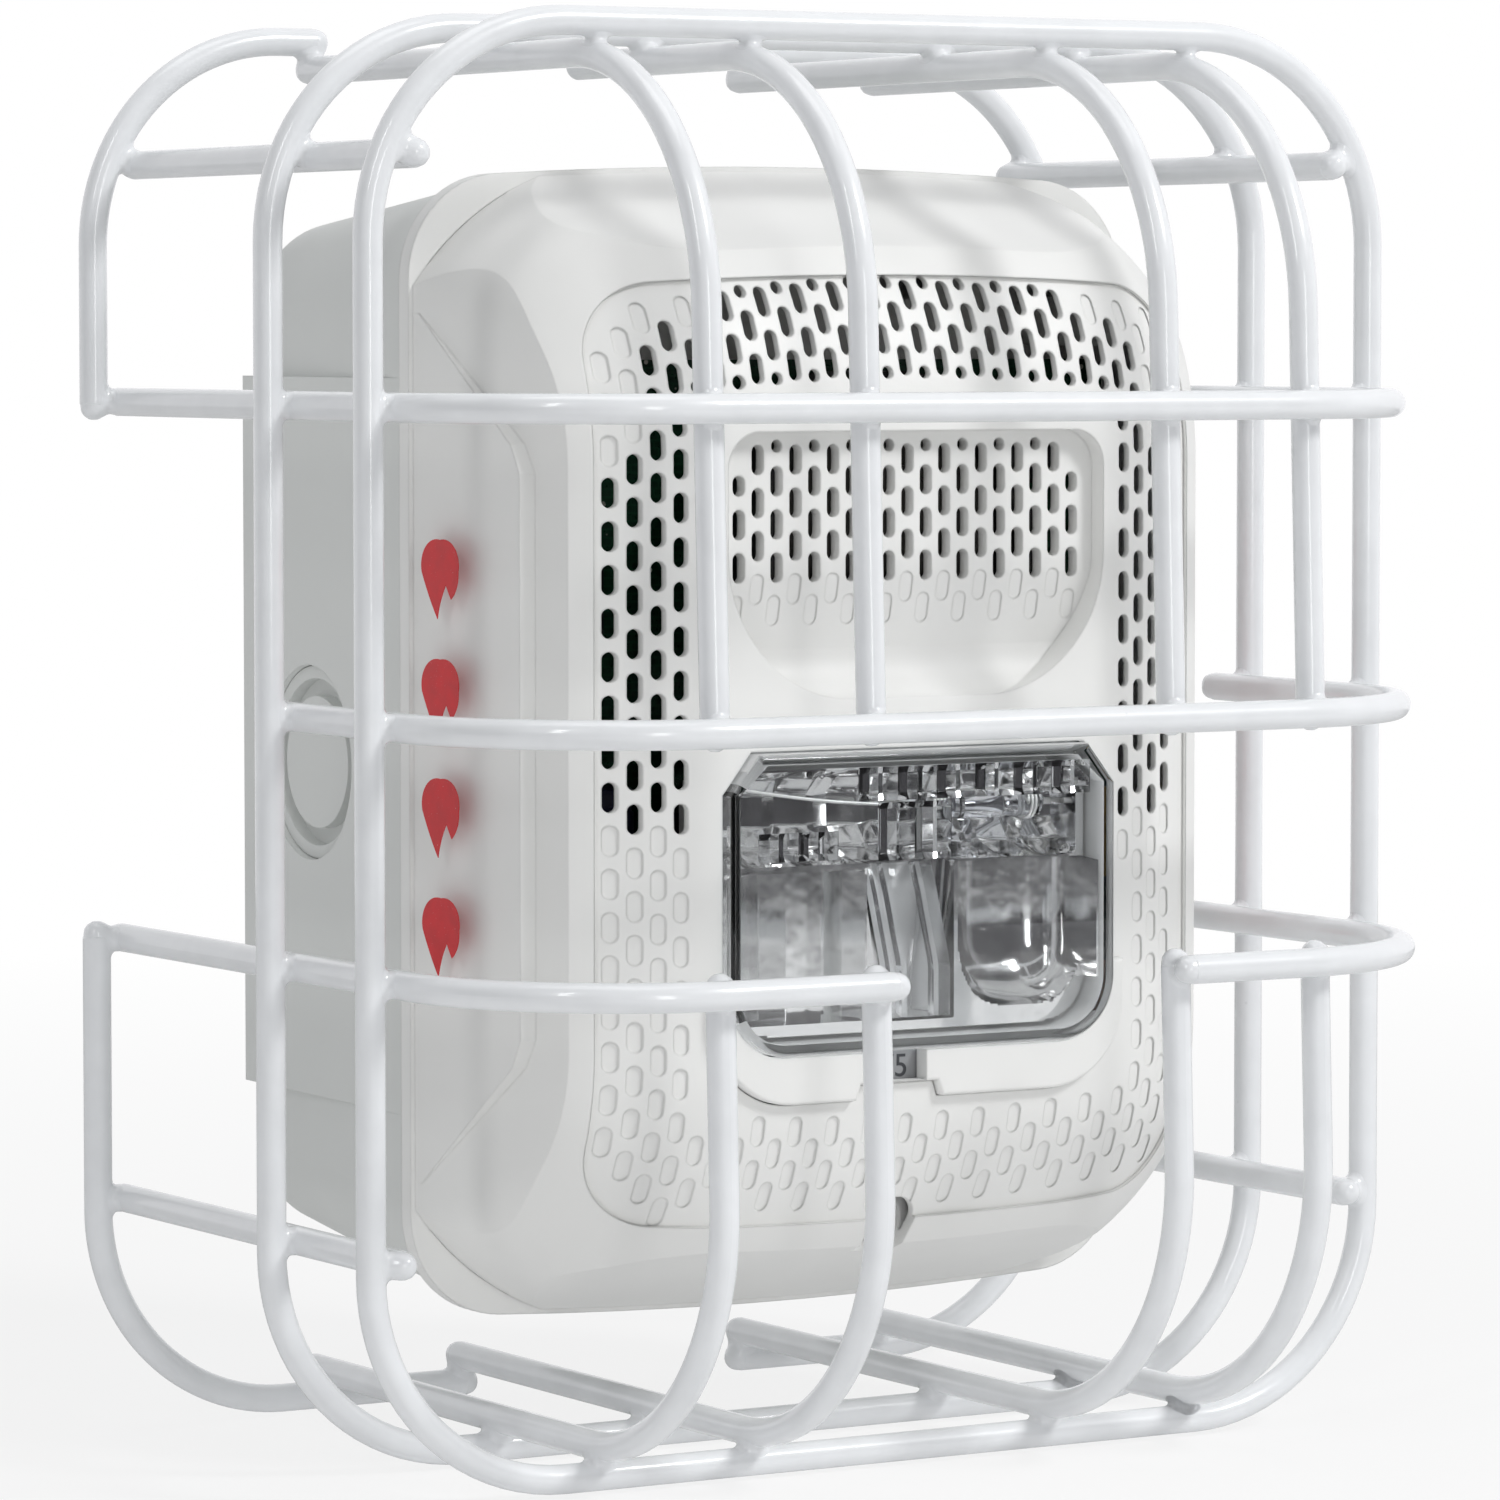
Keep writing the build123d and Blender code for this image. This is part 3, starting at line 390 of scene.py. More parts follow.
for entry in frame["record"]["subparts"]:
    mesh = nodes[entry["node"]].data
    mesh.materials.clear()
    mesh.materials.append(finish[entry["material_slot"]])


def add_piece(name, vertices, faces, material, body=HOUSING, smooth_angle=40.0):
    """New mesh piece from millimetre coordinates, riding on a CAD body."""
    mesh = bpy.data.meshes.new(name)
    mesh.from_pydata([tuple(v) for v in np.asarray(vertices, float) * MM], [], faces)
    mesh.validate()
    mesh.update()
    mesh.materials.append(material)
    mesh.shade_smooth()
    mesh.set_sharp_from_angle(angle=math.radians(smooth_angle))
    piece = bpy.data.objects.new(name, mesh)
    scene.collection.objects.link(piece)
    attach(piece, body)
    return piece


def join(vertices, faces, more_vertices, more_faces):
    """Add one shape to the lists of another."""
    base = len(vertices)
    vertices.extend(more_vertices)
    faces.extend([[base + i for i in face] for face in more_faces])


def box_mm(node):
    low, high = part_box(node)
    return np.array(low) / MM, np.array(high) / MM


def middle_mm(node):
    low, high = box_mm(node)
    return (low + high) / 2


# ---------------------------------------------------------------- weld fillets of the guard
WIRE_R = 2.05
UPRIGHT_LEAN = 0.0389  # how far the uprights lean out per millimetre of height
ring_low, ring_high = box_mm("guard_front_ring")
RING_HALF_W = ring_high[0] - WIRE_R
RING_TOP = ring_high[2] - WIRE_R
RING_BOTTOM = ring_low[2] + WIRE_R
RING_CORNER = 30.0
UPRIGHT_BEND = 36.0
BAR_BEND = 33.0


def rounded_path(points, radius, step=0.8, closed=False):
    """Polyline with its corners replaced by arcs, sampled finely enough for distances."""
    points = [np.array(p, float) for p in points]
    count = len(points)
    path = []
    for i, corner in enumerate(points):
        if not closed and i in (0, count - 1):
            path.append(corner)
            continue
        before = points[i - 1] - corner
        after = points[(i + 1) % count] - corner
        before /= np.linalg.norm(before)
        after /= np.linalg.norm(after)
        half = math.acos(float(np.clip(before @ after, -1, 1))) / 2
        inward = before + after
        inward /= np.linalg.norm(inward)
        centre = corner + inward * radius / math.sin(half)
        start = corner + before * radius / math.tan(half) - centre
        sweep = math.pi - 2 * half
        normal = np.cross(start, corner + after * radius / math.tan(half) - centre)
        normal /= np.linalg.norm(normal)
        steps = max(2, int(sweep * radius / step))
        for k in range(steps + 1):
            angle = sweep * k / steps
            turned = start * math.cos(angle) + np.cross(normal, start) * math.sin(angle)
            path.append(centre + turned)
    if closed:
        path.append(path[0])
    return np.array(path)


wires = {}
for name in ("guard_front_ring", "guard_middle_ring"):
    y = middle_mm(name)[1]
    corners = [
        (RING_HALF_W, y, RING_BOTTOM),
        (RING_HALF_W, y, RING_TOP),
        (-RING_HALF_W, y, RING_TOP),
        (-RING_HALF_W, y, RING_BOTTOM),
    ]
    wires[name] = rounded_path(corners, RING_CORNER, closed=True)
for vertical, z_run in (("upper", RING_TOP), ("lower", RING_BOTTOM)):
    for hand, side in (("left", -1), ("right", 1)):
        name = f"guard_rear_wire_{vertical}_{hand}"
        low, high = box_mm(name)
        x_end = high[0] if side < 0 else low[0]
        z_end = low[2] if vertical == "upper" else high[2]
        y = (low[1] + high[1]) / 2
        points = [
            (side * RING_HALF_W, y, z_end),
            (side * RING_HALF_W, y, z_run),
            (x_end, y, z_run),
        ]
        wires[name] = rounded_path(points, RING_CORNER)
    for number in range(1, 5):
        name = f"guard_upright_{number}_{vertical}"
        low, high = box_mm(name)
        x = (low[0] + high[0]) / 2
        run = high[2] - WIRE_R if vertical == "upper" else low[2] + WIRE_R
        z_end = low[2] if vertical == "upper" else high[2]
        # The upright's lean fixes its depth: the straight part is tangent to the box front.
        front = low[1] + WIRE_R * math.hypot(1, UPRIGHT_LEAN)
        if vertical == "upper":
            tangent_z = z_end
            front -= 0.02
        else:
            tangent_z = run + UPRIGHT_BEND
        depth_end, depth_run = (front + UPRIGHT_LEAN * (z - tangent_z) for z in (z_end, run))
        points = [(x, depth_end, z_end), (x, depth_run, run), (x, high[1], run)]
        wires[name] = rounded_path(points, UPRIGHT_BEND)
for name, spans in (
    ("guard_crossbar_upper", (-1, 1)),
    ("guard_crossbar_middle", (-1, 1)),
    ("guard_crossbar_lower_left", (-1,)),
    ("guard_crossbar_lower_right", (1,)),
):
    low, high = box_mm(name)
    z = (low[2] + high[2]) / 2
    front = low[1] + WIRE_R
    side_x = RING_HALF_W - 2 * WIRE_R
    if len(spans) == 2:
        points = [
            (-side_x, high[1], z),
            (-side_x, front, z),
            (side_x, front, z),
            (side_x, high[1], z),
        ]
    else:
        side = spans[0]
        x_end = high[0] if side < 0 else low[0]
        points = [(side * side_x, high[1], z), (side * side_x, front, z), (x_end, front, z)]
    wires[name] = rounded_path(points, BAR_BEND)
for vertical, hand in itertools.product(("upper", "lower"), ("left", "right")):
    name = f"guard_side_bar_{vertical}_{hand}"
    low, high = box_mm(name)
    x, _, z = (low + high) / 2
    wires[name] = np.array([(x, low[1], z), (x, high[1], z)])


SEARCH_REACH = 6.4  # centre lines nearer than this are looked at more closely
WELD_GAP = 5.4  # centre lines nearer than this are welded


def path_distance(points, start, end):
    """Distance from many points to the nearest of a few segments."""
    best = np.full(len(points), 1e9)
    for a, b in zip(start, end):
        along = b - a
        t = np.clip((points - a) @ along / max(along @ along, 1e-9), 0, 1)
        best = np.minimum(best, np.linalg.norm(points - a - t[:, None] * along, axis=1))
    return best


def nearest_on_path(path, point):
    """Point of a polyline nearest to a given point, and how far away it is."""
    a, b = path[:-1], path[1:]
    along = b - a
    t = np.clip(((point - a) * along).sum(1) / np.maximum((along**2).sum(1), 1e-9), 0, 1)
    spot = a + t[:, None] * along
    gap = np.linalg.norm(spot - point, axis=1)
    return spot[gap.argmin()], gap.min()


def crossings(first, second):
    """Places where two wires pass close enough to be welded."""
    found = []
    fine = []
    for a, b in zip(first[:-1], first[1:]):
        count = max(1, int(np.linalg.norm(b - a) / 1.0))
        fine.extend(a + (b - a) * k / count for k in range(count))
    fine.append(first[-1])
    fine = np.array(fine)
    a, b = second[:-1], second[1:]
    along = b - a
    t = ((fine[:, None] - a) * along).sum(2) / np.maximum((along**2).sum(1), 1e-9)
    spot = a + np.clip(t, 0, 1)[:, :, None] * along
    gap = np.linalg.norm(spot - fine[:, None], axis=2).min(1)
    near = np.flatnonzero(gap < SEARCH_REACH)
    for group in np.split(near, np.flatnonzero(np.diff(near) > 1) + 1):
        if len(group):
            p = fine[group[gap[group].argmin()]]
            for _ in range(12):
                q = nearest_on_path(second, p)[0]
                p, distance = nearest_on_path(first, q)
            if distance < WELD_GAP:
                found.append((p + q) / 2)
    return found


def surface_nets(field, origin, step):
    """Closed polygon surface where a sampled field crosses zero."""
    nx, ny, nz = (n - 1 for n in field.shape)
    corner = list(itertools.product((0, 1), repeat=3))
    values = [field[i:i + nx, j:j + ny, k:k + nz] for i, j, k in corner]
    inside = np.stack([v < 0 for v in values])
    active = inside.any(0) & ~inside.all(0)
    total = np.zeros((nx, ny, nz, 3))
    count = np.zeros((nx, ny, nz))
    for a, b in itertools.combinations(range(8), 2):
        offset = np.array(corner[b]) - np.array(corner[a])
        if np.abs(offset).sum() != 1:
            continue
        cut = inside[a] != inside[b]
        t = np.where(cut, values[a] / np.where(cut, values[a] - values[b], 1), 0)
        total += (np.array(corner[a]) + t[..., None] * offset) * cut[..., None]
        count += cut
    index = np.full((nx, ny, nz), -1)
    index[active] = np.arange(active.sum())
    cells = np.argwhere(active)
    vertices = origin + step * (cells + total[active] / count[active][:, None])
    faces = []
    sign = field < 0
    for axis in range(3):
        u, v = [(1, 2), (2, 0), (0, 1)][axis]
        one = np.eye(3, dtype=int)
        low = np.array(np.moveaxis(sign, axis, 0)[:-1])
        high = np.array(np.moveaxis(sign, axis, 0)[1:])
        spots = np.argwhere(np.moveaxis(low != high, 0, axis))
        for s in spots:
            if s[u] < 1 or s[v] < 1 or s[u] > field.shape[u] - 2 or s[v] > field.shape[v] - 2:
                continue
            ring = [s - one[u] - one[v], s - one[v], s, s - one[u]]
            quad = [int(index[tuple(c)]) for c in ring]
            faces.append(quad if sign[tuple(s)] else quad[::-1])
    return vertices, faces


def weld_bead(spot, first, second, step=0.5, reach=6.5, blend=2.3, sink=0.07):
    """Fillet between two touching wires; away from the joint it sinks under their surfaces."""
    count = int(2 * reach / step) + 1
    origin = spot - reach
    grid = np.stack(np.meshgrid(*[np.arange(count) * step] * 3, indexing="ij"), -1) + origin
    points = grid.reshape(-1, 3)
    parts = []
    for path in (first, second):
        a, b = path[:-1], path[1:]
        gap = [nearest_on_path(np.array([p, q]), spot)[1] for p, q in zip(a, b)]
        near = np.array(gap) < reach * 1.9
        parts.append(path_distance(points, a[near], b[near]) - WIRE_R + sink)
    mix = np.clip(0.5 + 0.5 * (parts[1] - parts[0]) / blend, 0, 1)
    joined = parts[1] * (1 - mix) + parts[0] * mix - blend * mix * (1 - mix)
    bounded = np.maximum(joined, np.linalg.norm(points - spot, axis=1) - reach + 0.8)
    return surface_nets(bounded.reshape(count, count, count), origin, step)


weld_vertices, weld_faces = [], []
weld_step = 0.5
for (name_a, path_a), (name_b, path_b) in itertools.combinations(wires.items(), 2):
    low_a, high_a = box_mm(name_a)
    low_b, high_b = box_mm(name_b)
    if (low_a - 3 > high_b).any() or (low_b - 3 > high_a).any():
        continue
    for spot in crossings(path_a, path_b):
        bead_vertices, bead_faces = weld_bead(spot, path_a, path_b, weld_step)
        join(weld_vertices, weld_faces, bead_vertices, bead_faces)
add_piece(
    "guard_weld_fillets",
    weld_vertices,
    weld_faces,
    finish["guard_coating"],
    smooth_angle=80,
)

# ---------------------------------------------------------------- strobe reflector
REFLECTOR_FRONT = -93.4
REFLECTOR_REAR = -76.0
DIVIDER_Z = -16.2
TUBE_Y = -88.6
TUBE_Z = -8.4
REFLECTOR_EXTRA = 0.45
TROUGH_X = -17.6
TROUGH_HALF_W = 10.6
BOWL_X = 18.9
BOWL_Z = -24.0
BOWL_HALF_W = 10.5
BOWL_HALF_H = 12.6
BOWL_DEPTH = 8.4
BAY_HALF_W = 28.0
FACET_W = 4.0
RIM_X = 28.9
RIM_HEIGHT = 4.0
reflector_low, reflector_high = box_mm("strobe_reflector")


def inside_round(x, z, margin, radius):
    """Signed distance to the reflector's rounded outline, negative inside."""
    half_x = (reflector_high[0] - reflector_low[0]) / 2 + REFLECTOR_EXTRA - margin
    half_z = (reflector_high[2] - reflector_low[2]) / 2 - margin
    mid_z = (reflector_high[2] + reflector_low[2]) / 2
    qx = np.abs(x) - half_x + radius
    qz = np.abs(z - mid_z) - half_z + radius
    outside = np.hypot(np.maximum(qx, 0), np.maximum(qz, 0))
    return outside + np.minimum(np.maximum(qx, qz), 0) - radius


def reflector_depth(x, z):
    """How far the chromed surface lies behind the reflector's front edge, in mm."""
    depth = np.zeros_like(x)
    # Lower left: an upright trough with a parabolic section and a flatter inner flank.
    u = (x - TROUGH_X) / TROUGH_HALF_W
    trough = np.interp(u, [-1.0, -0.34, 0.20, 0.78, 1.0], [0.0, 5.5, 7.6, 7.7, 0.0])
    in_trough = (np.abs(u) < 1) & (z < DIVIDER_Z - 0.5) & (z > -37.6)
    depth = np.where(in_trough, trough, depth)
    # Centre: a flat pocket for the clear light guide.
    in_pocket = (x > -6.6) & (x < 7.6) & (z < DIVIDER_Z + 0.6) & (z > -38.0)
    depth = np.where(in_pocket, 4.4, depth)
    # Lower right: half a bowl with a straight upper wall.
    bx = (x - BOWL_X) / BOWL_HALF_W
    bz = np.minimum(z - BOWL_Z, 0) / BOWL_HALF_H
    radial = np.abs(bx) ** 3.2 + np.abs(bz) ** 2.6
    bowl = BOWL_DEPTH * np.clip(1 - radial, 0, 1) ** 0.5
    in_bowl = (radial < 1) & (z < DIVIDER_Z + 0.2)
    depth = np.where(in_bowl, bowl, depth)
    # Upper bay: rows of flat facets around the flash tube.
    column = np.floor((x + BAY_HALF_W) / FACET_W)
    across = (x + BAY_HALF_W) / FACET_W - column
    flank = np.interp(z, [-15.4, -13.6, -10.6, -6.2, -3.6, -2.6], [1.0, 6.2, 8.6, 8.8, 5.6, 1.0])
    tilt = np.where(column % 2 == 0, across - 0.5, 0.5 - across) * 2.6
    step = np.where((column % 3 == 1), 1.3, 0.0)
    in_bay = (np.abs(x) < BAY_HALF_W) & (z > -15.4) & (z < -2.6)
    depth = np.where(in_bay, np.clip(flank + tilt - step, 0.8, 10.2), depth)
    depth = np.where(inside_round(x, z, 0.8, 6.2) < 0, depth, 0.0)
    # The right rim of the bowl runs forward along the side wall of the lens.
    rim = (x > RIM_X) & (z < DIVIDER_Z) & (z > -33.0)
    return np.where(rim, -RIM_HEIGHT, depth)


def height_panel(x_values, z_values, depth, front, rear, outline):
    """Closed panel: a sampled front surface, straight side walls and a flat back."""
    grid_x, grid_z = np.meshgrid(x_values, z_values, indexing="ij")
    keep = outline(grid_x, grid_z) < 0
    cell = keep[:-1, :-1] & keep[1:, :-1] & keep[:-1, 1:] & keep[1:, 1:]
    surface = front + depth(grid_x, grid_z)
    used = np.zeros_like(keep)
    for di, dj in itertools.product((0, 1), repeat=2):
        used[di:di + cell.shape[0], dj:dj + cell.shape[1]] |= cell
    number = np.full(keep.shape, -1)
    number[used] = np.arange(used.sum())
    total = int(used.sum())
    ahead = np.stack([grid_x[used], surface[used], grid_z[used]], 1)
    behind = np.stack([grid_x[used], np.full(total, rear), grid_z[used]], 1)
    faces = []
    edges = {}
    for i, j in np.argwhere(cell):
        ring = [number[i, j], number[i + 1, j], number[i + 1, j + 1], number[i, j + 1]]
        ring = [int(v) for v in ring]
        faces.append(ring)
        faces.append([v + total for v in reversed(ring)])
        for a, b in zip(ring, ring[1:] + ring[:1]):
            if edges.pop((b, a), None) is None:
                edges[(a, b)] = True
    for a, b in edges:
        faces.append([b, a, a + total, b + total])
    return np.concatenate([ahead, behind]), faces


panel_step = 0.32
panel_x = (reflector_low[0] - REFLECTOR_EXTRA, reflector_high[0] + REFLECTOR_EXTRA + 0.01)
vertices, faces = height_panel(
    np.arange(*panel_x, panel_step),
    np.arange(reflector_low[2], reflector_high[2] + 0.01, panel_step),
    reflector_depth,
    REFLECTOR_FRONT,
    REFLECTOR_REAR,
    lambda x, z: inside_round(x, z, -0.01, 7.0),
)
reflector = add_piece(
    "strobe_reflector_bright",
    vertices,
    faces,
    finish["reflector_chrome"],
    smooth_angle=24,
)
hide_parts("strobe_reflector")

# White foot of the reflector, seen through the rim of the lens.
lens_low, lens_high = box_mm("strobe_lens")
foot_step = 0.6
FOOT_REAR = -86.2


def foot_outline(x, z):
    """Signed distance to a frame around the reflector, negative inside the frame."""
    return np.maximum(inside_round(x, z, -3.4, 9.5), -inside_round(x, z, 1.4, 6.0))


vertices, faces = height_panel(
    np.arange(lens_low[0] - 1, lens_high[0] + 1, foot_step),
    np.arange(lens_low[2] - 1, lens_high[2] + 1, foot_step),
    lambda x, z: 0.15 * (np.abs(inside_round(x, z, -1.2, 8.0)) < 0.7),
    lens_high[1] + 0.15,
    FOOT_REAR,
    foot_outline,
)
add_piece("reflector_foot", vertices, faces, finish["cover_plastic"])


# ---------------------------------------------------------------- clear light guide
def prism_sweep(profile, stations):
    """Closed solid from one cross-section repeated at several stations."""
    count = len(profile)
    vertices = [station(x, y) for station in stations for x, y in profile]
    faces = []
    for level in range(len(stations) - 1):
        for i in range(count):
            a = level * count + i
            b = level * count + (i + 1) % count
            faces.append([a, b, b + count, a + count])
    faces.append(list(range(count))[::-1])
    faces.append([(len(stations) - 1) * count + i for i in range(count)])
    return vertices, faces


GUIDE_X = 0.6
GUIDE_REAR = -89.3
guide_front = [(-5.8, 0.0)]
for groove, width in ((-3.9, 0.7), (-1.9, 0.9), (3.4, 0.8)):
    guide_front += [(groove - width / 2, -0.1), (groove, 0.75), (groove + width / 2, -0.1)]
guide_front.append((5.8, 0.0))
guide_back = [(5.8, 1.0), (-5.8, 1.0)]


def guide_station(z, front, shift):
    """Places the guide's profile at height z; its back stays on one plane."""

    def place(x, y):
        return (x + GUIDE_X + shift, GUIDE_REAR if y == 1.0 else front + y, z)

    return place


vertices, faces = prism_sweep(
    guide_front + guide_back,
    [
        guide_station(-16.0, -90.2, -0.6),
        guide_station(-20.0, -91.2, -0.2),
        guide_station(-29.5, -93.2, 0.6),
        guide_station(-31.0, -93.35, 0.7),
        guide_station(-37.6, -93.35, 0.7),
    ],
)
guide_clear = clear_moulding("clear_guide", (0.98, 0.985, 0.99), 0.02, 0.05, frosted="back")
guide = add_piece("light_guide_clear", vertices, faces, guide_clear, smooth_angle=20)
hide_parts("light_guide")


# ---------------------------------------------------------------- prisms moulded inside the lens
def flute_row(x_start, x_end, pitch, z_low, z_high, root, depth):
    """Row of upright V flutes with slanted ends, as one closed clear strip."""
    profile = []
    count = round((x_end - x_start) / pitch)
    for i in range(count):
        x = x_start + i * pitch
        profile.append((x, root + 0.25))
        crest_x = x + pitch * (0.35 if i % 2 else 0.62)
        crest = root + depth * (1.0 if i % 3 else 0.7)
        profile.append((crest_x, crest))
    profile.append((x_end, root + 0.25))
    profile += [(x_end, root), (x_start, root)]

    def station(z, share):
        return lambda x, y: (x, root + (y - root) * share, z)

    stations = [
        station(z_high, 0.3),
        station(z_high - 0.9, 1.0),
        station(z_low + 0.9, 1.0),
        station(z_low, 0.3),
    ]
    return prism_sweep(profile, stations)


lens_inner = lens_low[1] + 1.52
vertices, faces = [], []
for flutes in (
    (-10.8, 27.6, 3.2, -6.6, -1.9, lens_inner, 1.5),
    (-7.6, 4.4, 3.0, -15.0, -6.9, lens_inner, 2.0),
    (-27.0, -14.2, 3.2, -14.6, -10.6, lens_inner, 1.3),
):
    join(vertices, faces, *flute_row(*flutes))
prism_clear = clear_moulding("clear_prisms", (0.98, 0.985, 0.99), 0.01, 0.03)
add_piece("lens_prisms", vertices, faces, prism_clear, smooth_angle=12)


# ---------------------------------------------------------------- trigger wire of the flash tube
def tube_along(points, radius, sides=10):
    """Round wire with closed ends through a list of points."""
    points = np.array(points, float)
    vertices, faces = [], []
    tangents = np.gradient(points, axis=0)
    side = np.array([0.0, 0.0, 1.0])
    for point, tangent in zip(points, tangents):
        tangent = tangent / np.linalg.norm(tangent)
        side = side - tangent * (side @ tangent)
        side = side / np.linalg.norm(side)
        other = np.cross(tangent, side)
        for k in range(sides):
            angle = 2 * math.pi * k / sides
            vertices.append(point + radius * (side * math.cos(angle) + other * math.sin(angle)))
    for level in range(len(points) - 1):
        for k in range(sides):
            a = level * sides + k
            b = level * sides + (k + 1) % sides
            faces.append([a, b, b + sides, a + sides])
    faces.append(list(range(sides))[::-1])
    faces.append([(len(points) - 1) * sides + k for k in range(sides)])
    return vertices, faces


def wrapped(x_start, x_end, turns, radius):
    """Points of a few turns around the flash tube."""
    steps = int(turns * 18)
    return [
        (
            x_start + (x_end - x_start) * k / steps,
            TUBE_Y - radius * math.cos(2 * math.pi * turns * k / steps),
            TUBE_Z + radius * math.sin(2 * math.pi * turns * k / steps),
        )
        for k in range(steps + 1)
    ]


TUBE_RADIUS = 1.9
TRIGGER_WIRE_R = 0.24
COIL_R = TUBE_RADIUS + 0.26
lead_in = [
    (-27.5 + 33.3 * t, -91.6 + 0.6 * t * t, -4.6 - 3.4 * t - 0.7 * math.sin(math.pi * t))
    for t in np.linspace(0, 0.97, 20)
]
bow = [(8.0 + 14.0 * t, TUBE_Y - 0.1, TUBE_Z + COIL_R) for t in np.linspace(0.08, 0.95, 10)]
wire_points = lead_in + wrapped(6.2, 8.0, 3.25, COIL_R) + bow + wrapped(22.0, 23.4, 2.25, COIL_R)
vertices, faces = tube_along(wire_points, TRIGGER_WIRE_R)
add_piece(
    "flash_tube_trigger_wire",
    vertices,
    faces,
    finish["zinc_steel"],
    smooth_angle=60,
)

# ---------------------------------------------------------------- numbers on the candela slider
slider_low, slider_high = box_mm("candela_slider")
NUMBER_PITCH = 9.5
NUMBER_Z = -44.3
NUMBER_SHIFT = 1.2
NUMBER_HEIGHT = 4.6
INK_HALF_T = 0.04
ink = printed_ink("dark_grey_ink", (0.055, 0.058, 0.065))
vertices, faces = [], []
for column, text in ((-1, "110"), (0, "75"), (1, "15")):
    curve = bpy.data.curves.new("number", "FONT")
    curve.body = text
    curve.size = NUMBER_HEIGHT * MM
    curve.extrude = INK_HALF_T * MM
    curve.align_x = "CENTER"
    curve.align_y = "CENTER"
    curve.resolution_u = 6
    shape = bpy.data.objects.new("number", curve)
    scene.collection.objects.link(shape)
    bpy.context.view_layer.update()
    shape_now = shape.evaluated_get(bpy.context.evaluated_depsgraph_get())
    flat = bpy.data.meshes.new_from_object(shape_now)
    x = (slider_low[0] + slider_high[0]) / 2 + NUMBER_SHIFT + column * NUMBER_PITCH
    place = Matrix.Translation(Vector((x, slider_low[1] - 0.03, NUMBER_Z)) * MM)
    flat.transform(place @ Matrix.Rotation(math.radians(90), 4, "X"))
    bpy.data.objects.remove(shape)
    join(
        vertices,
        faces,
        [tuple(v.co / MM) for v in flat.vertices],
        [polygon.vertices for polygon in flat.polygons],
    )
add_piece(
    "candela_numbers",
    vertices,
    faces,
    ink,
    "candela_switch",
    smooth_angle=30,
)

# ---------------------------------------------------------------- stage, light, camera
floor_mesh = bpy.data.meshes.new("floor")
FLOOR_RADIUS = 0.95
FLOOR_SIDES = 96
floor_z = cad_box[0].z - 0.0005
rim = [2 * math.pi * k / FLOOR_SIDES for k in range(FLOOR_SIDES)]
floor_mesh.from_pydata(
    [(FLOOR_RADIUS * math.cos(a), FLOOR_RADIUS * math.sin(a), floor_z) for a in rim],
    [],
    [list(range(FLOOR_SIDES))],
)
floor = bpy.data.objects.new("floor", floor_mesh)
scene.collection.objects.link(floor)
s = Shader("pale_floor")
s.set(Base_Color=s.ramp(s.noise(0.004), (0.3, 0.78), (0.7, 0.80)), Roughness=0.9)
path_node = s.tree.nodes.new("ShaderNodeLightPath")
glow = s.tree.nodes.new("ShaderNodeEmission")
glow.inputs["Strength"].default_value = 1.0
veil = s.tree.nodes.new("ShaderNodeMixShader")
flat_distance = s.tree.nodes.new("ShaderNodeVectorMath")
flat_distance.operation = "LENGTH"
s.link(s.place, flat_distance.inputs[0])
fade = s.ramp(s.math("DIVIDE", flat_distance.outputs["Value"], 1000.0), (0.15, 0.80), (0.75, 1.0))
seen_share = s.math("MULTIPLY", path_node.outputs["Is Camera Ray"], fade)
lit_share = s.math("MULTIPLY", path_node.outputs["Is Diffuse Ray"], 0.42)
s.link(s.math("MAXIMUM", seen_share, lit_share), veil.inputs["Fac"])
s.link(s.bsdf.outputs["BSDF"], veil.inputs[1])
s.link(glow.outputs["Emission"], veil.inputs[2])
s.link(veil.outputs["Shader"], s.tree.nodes["Material Output"].inputs["Surface"])
floor_mesh.materials.append(s.material)

CAMERA_AT = Vector((-0.51722, -0.91359, 0.05897))
CAMERA_LOOKS = Vector((0.51331, 0.85605, -0.060764))
CAMERA_SENSOR = 36
CAMERA_LENS = 166.32
world = bpy.data.worlds.new("studio")
scene.world = world
world.use_nodes = True
tree = world.node_tree
link = tree.links.new
soft = tree.nodes["Background"]
soft.inputs["Color"].default_value = (0.97, 0.985, 1.0, 1)
soft.inputs["Strength"].default_value = 0.36
seen = tree.nodes.new("ShaderNodeBackground")
seen.inputs["Color"].default_value = (1, 1, 1, 1)
# Mirror-like parts see a dark room behind the camera and pale walls around it.
direction = tree.nodes.new("ShaderNodeTexCoord")
facing = tree.nodes.new("ShaderNodeVectorMath")
facing.operation = "DOT_PRODUCT"
facing.inputs[1].default_value = -CAMERA_LOOKS
link(direction.outputs["Generated"], facing.inputs[0])
walls = tree.nodes.new("ShaderNodeValToRGB")
walls.color_ramp.elements[0].position = 0.42
walls.color_ramp.elements[0].color = (0.98, 0.98, 1.0, 1)
walls.color_ramp.elements[1].position = 0.66
walls.color_ramp.elements[1].color = (0.060, 0.058, 0.062, 1)
half = tree.nodes.new("ShaderNodeMath")
half.operation = "MULTIPLY_ADD"
half.inputs[1].default_value = 0.5
half.inputs[2].default_value = 0.5
link(facing.outputs["Value"], half.inputs[0])
link(half.outputs[0], walls.inputs["Fac"])
mirrored = tree.nodes.new("ShaderNodeBackground")
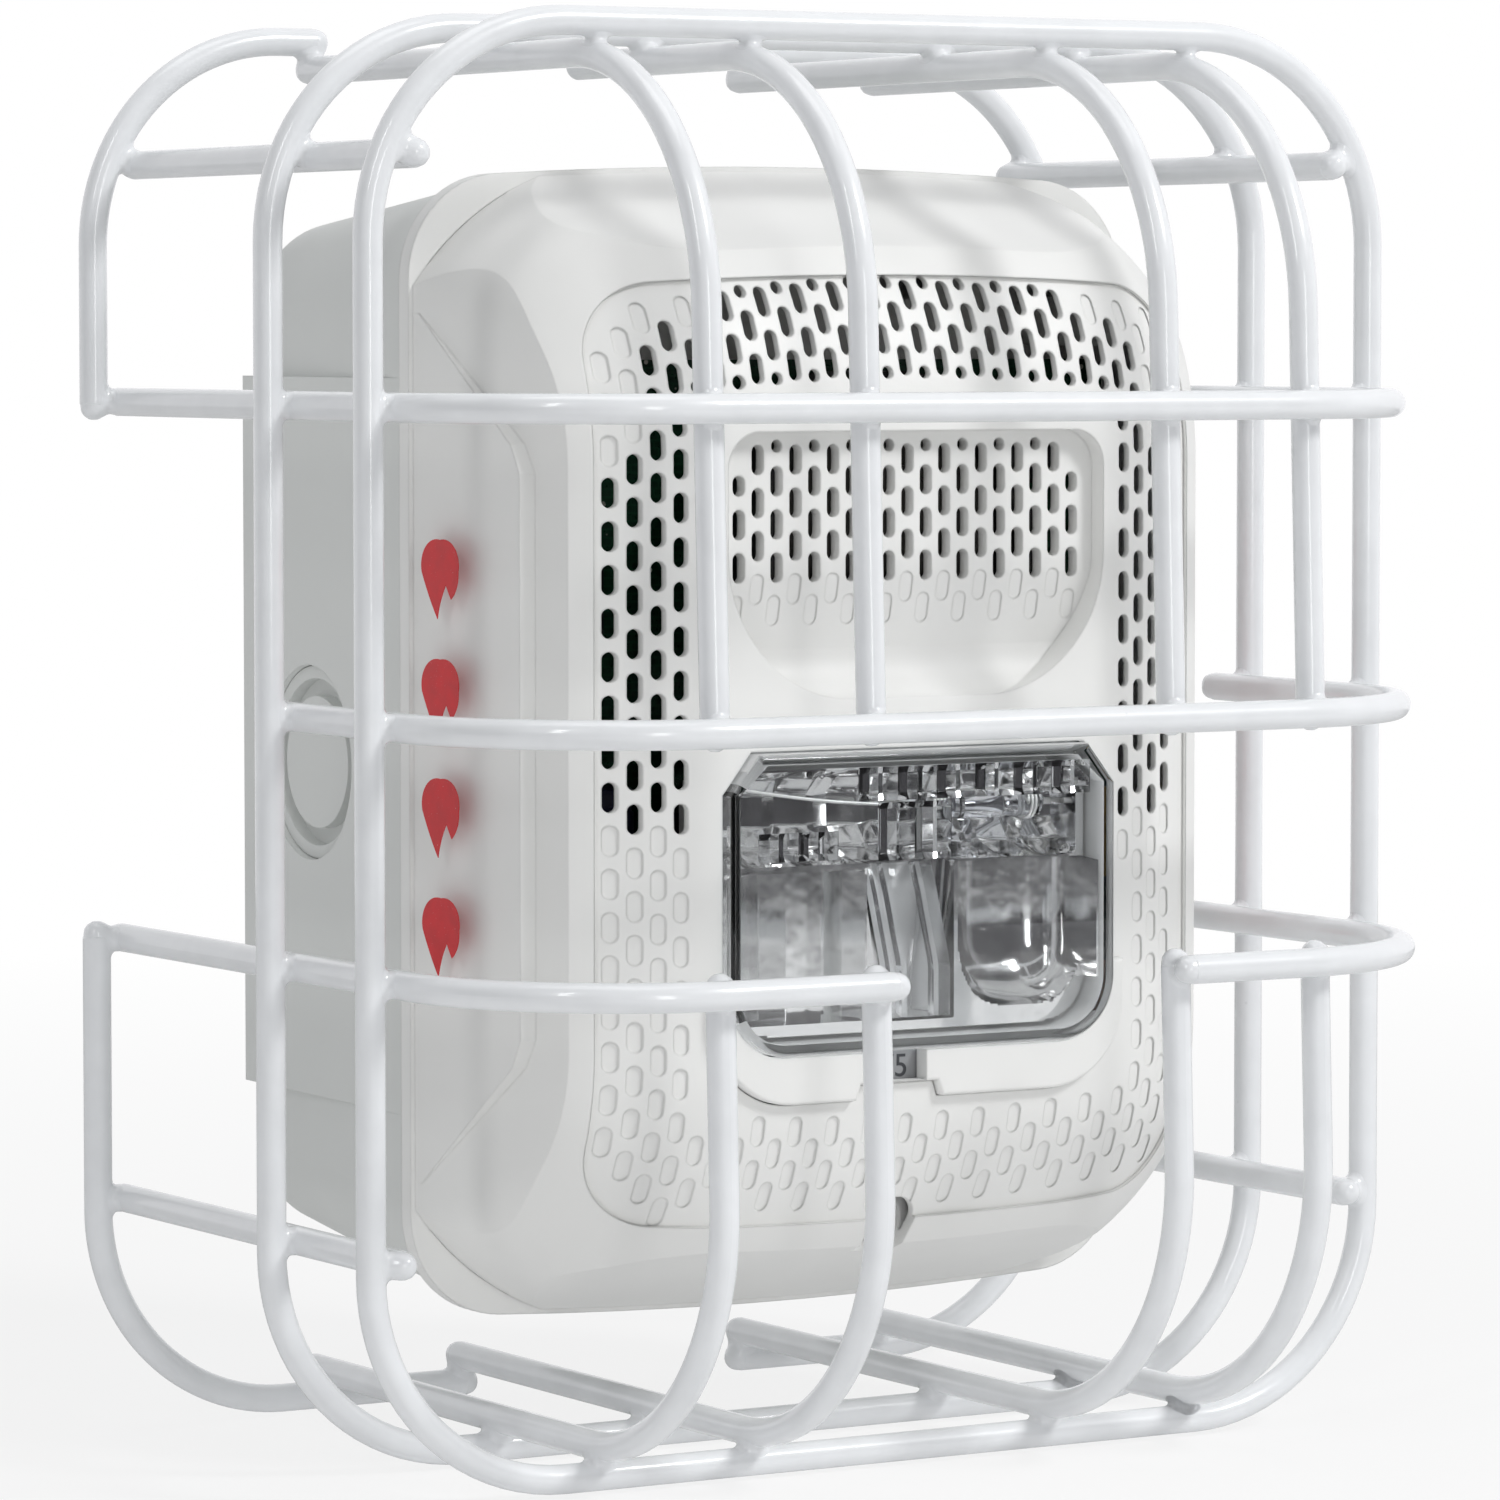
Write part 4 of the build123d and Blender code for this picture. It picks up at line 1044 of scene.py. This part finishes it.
link(walls.outputs["Color"], mirrored.inputs["Color"])
ray = tree.nodes.new("ShaderNodeLightPath")
shiny = tree.nodes.new("ShaderNodeMath")
shiny.operation = "MAXIMUM"
link(ray.outputs["Is Glossy Ray"], shiny.inputs[0])
link(ray.outputs["Is Transmission Ray"], shiny.inputs[1])
first = tree.nodes.new("ShaderNodeMixShader")
link(shiny.outputs[0], first.inputs["Fac"])
link(soft.outputs["Background"], first.inputs[1])
link(mirrored.outputs["Background"], first.inputs[2])
second = tree.nodes.new("ShaderNodeMixShader")
link(ray.outputs["Is Camera Ray"], second.inputs["Fac"])
link(first.outputs["Shader"], second.inputs[1])
link(seen.outputs["Background"], second.inputs[2])
link(second.outputs["Shader"], tree.nodes["World Output"].inputs["Surface"])

aim = Vector((0, -0.05, 0))


def softbox(name, place, size_x, size_y, power):
    """Rectangular area light aimed at the object."""
    light = bpy.data.lights.new(name, "AREA")
    light.shape = "RECTANGLE"
    light.size = size_x
    light.size_y = size_y
    light.energy = power
    lamp = bpy.data.objects.new(name, light)
    lamp.location = place
    lamp.rotation_euler = (aim - Vector(place)).to_track_quat("-Z", "Y").to_euler()
    scene.collection.objects.link(lamp)


softbox("key_right", (0.70, -1.20, 1.10), 0.40, 0.40, 14.0)
softbox("fill_front", (-0.35, -1.65, 0.25), 0.22, 0.6, 2.4)
softbox("rim_left", (-1.35, -0.9, 0.95), 0.16, 0.8, 3.2)
softbox("top", (-0.1, -0.1, 1.5), 1.0, 0.7, 3.5)

camera_data = bpy.data.cameras.new("camera")
camera_data.sensor_width = CAMERA_SENSOR
camera_data.lens = CAMERA_LENS
camera_data.clip_start = 0.05
camera_data.clip_end = 30.0
camera = bpy.data.objects.new("camera", camera_data)
camera.location = CAMERA_AT
camera.rotation_mode = "QUATERNION"
camera.rotation_quaternion = CAMERA_LOOKS.to_track_quat("-Z", "Y")
scene.collection.objects.link(camera)
scene.camera = camera
scene.view_settings.view_transform = "Standard"
scene.view_settings.look = "None"
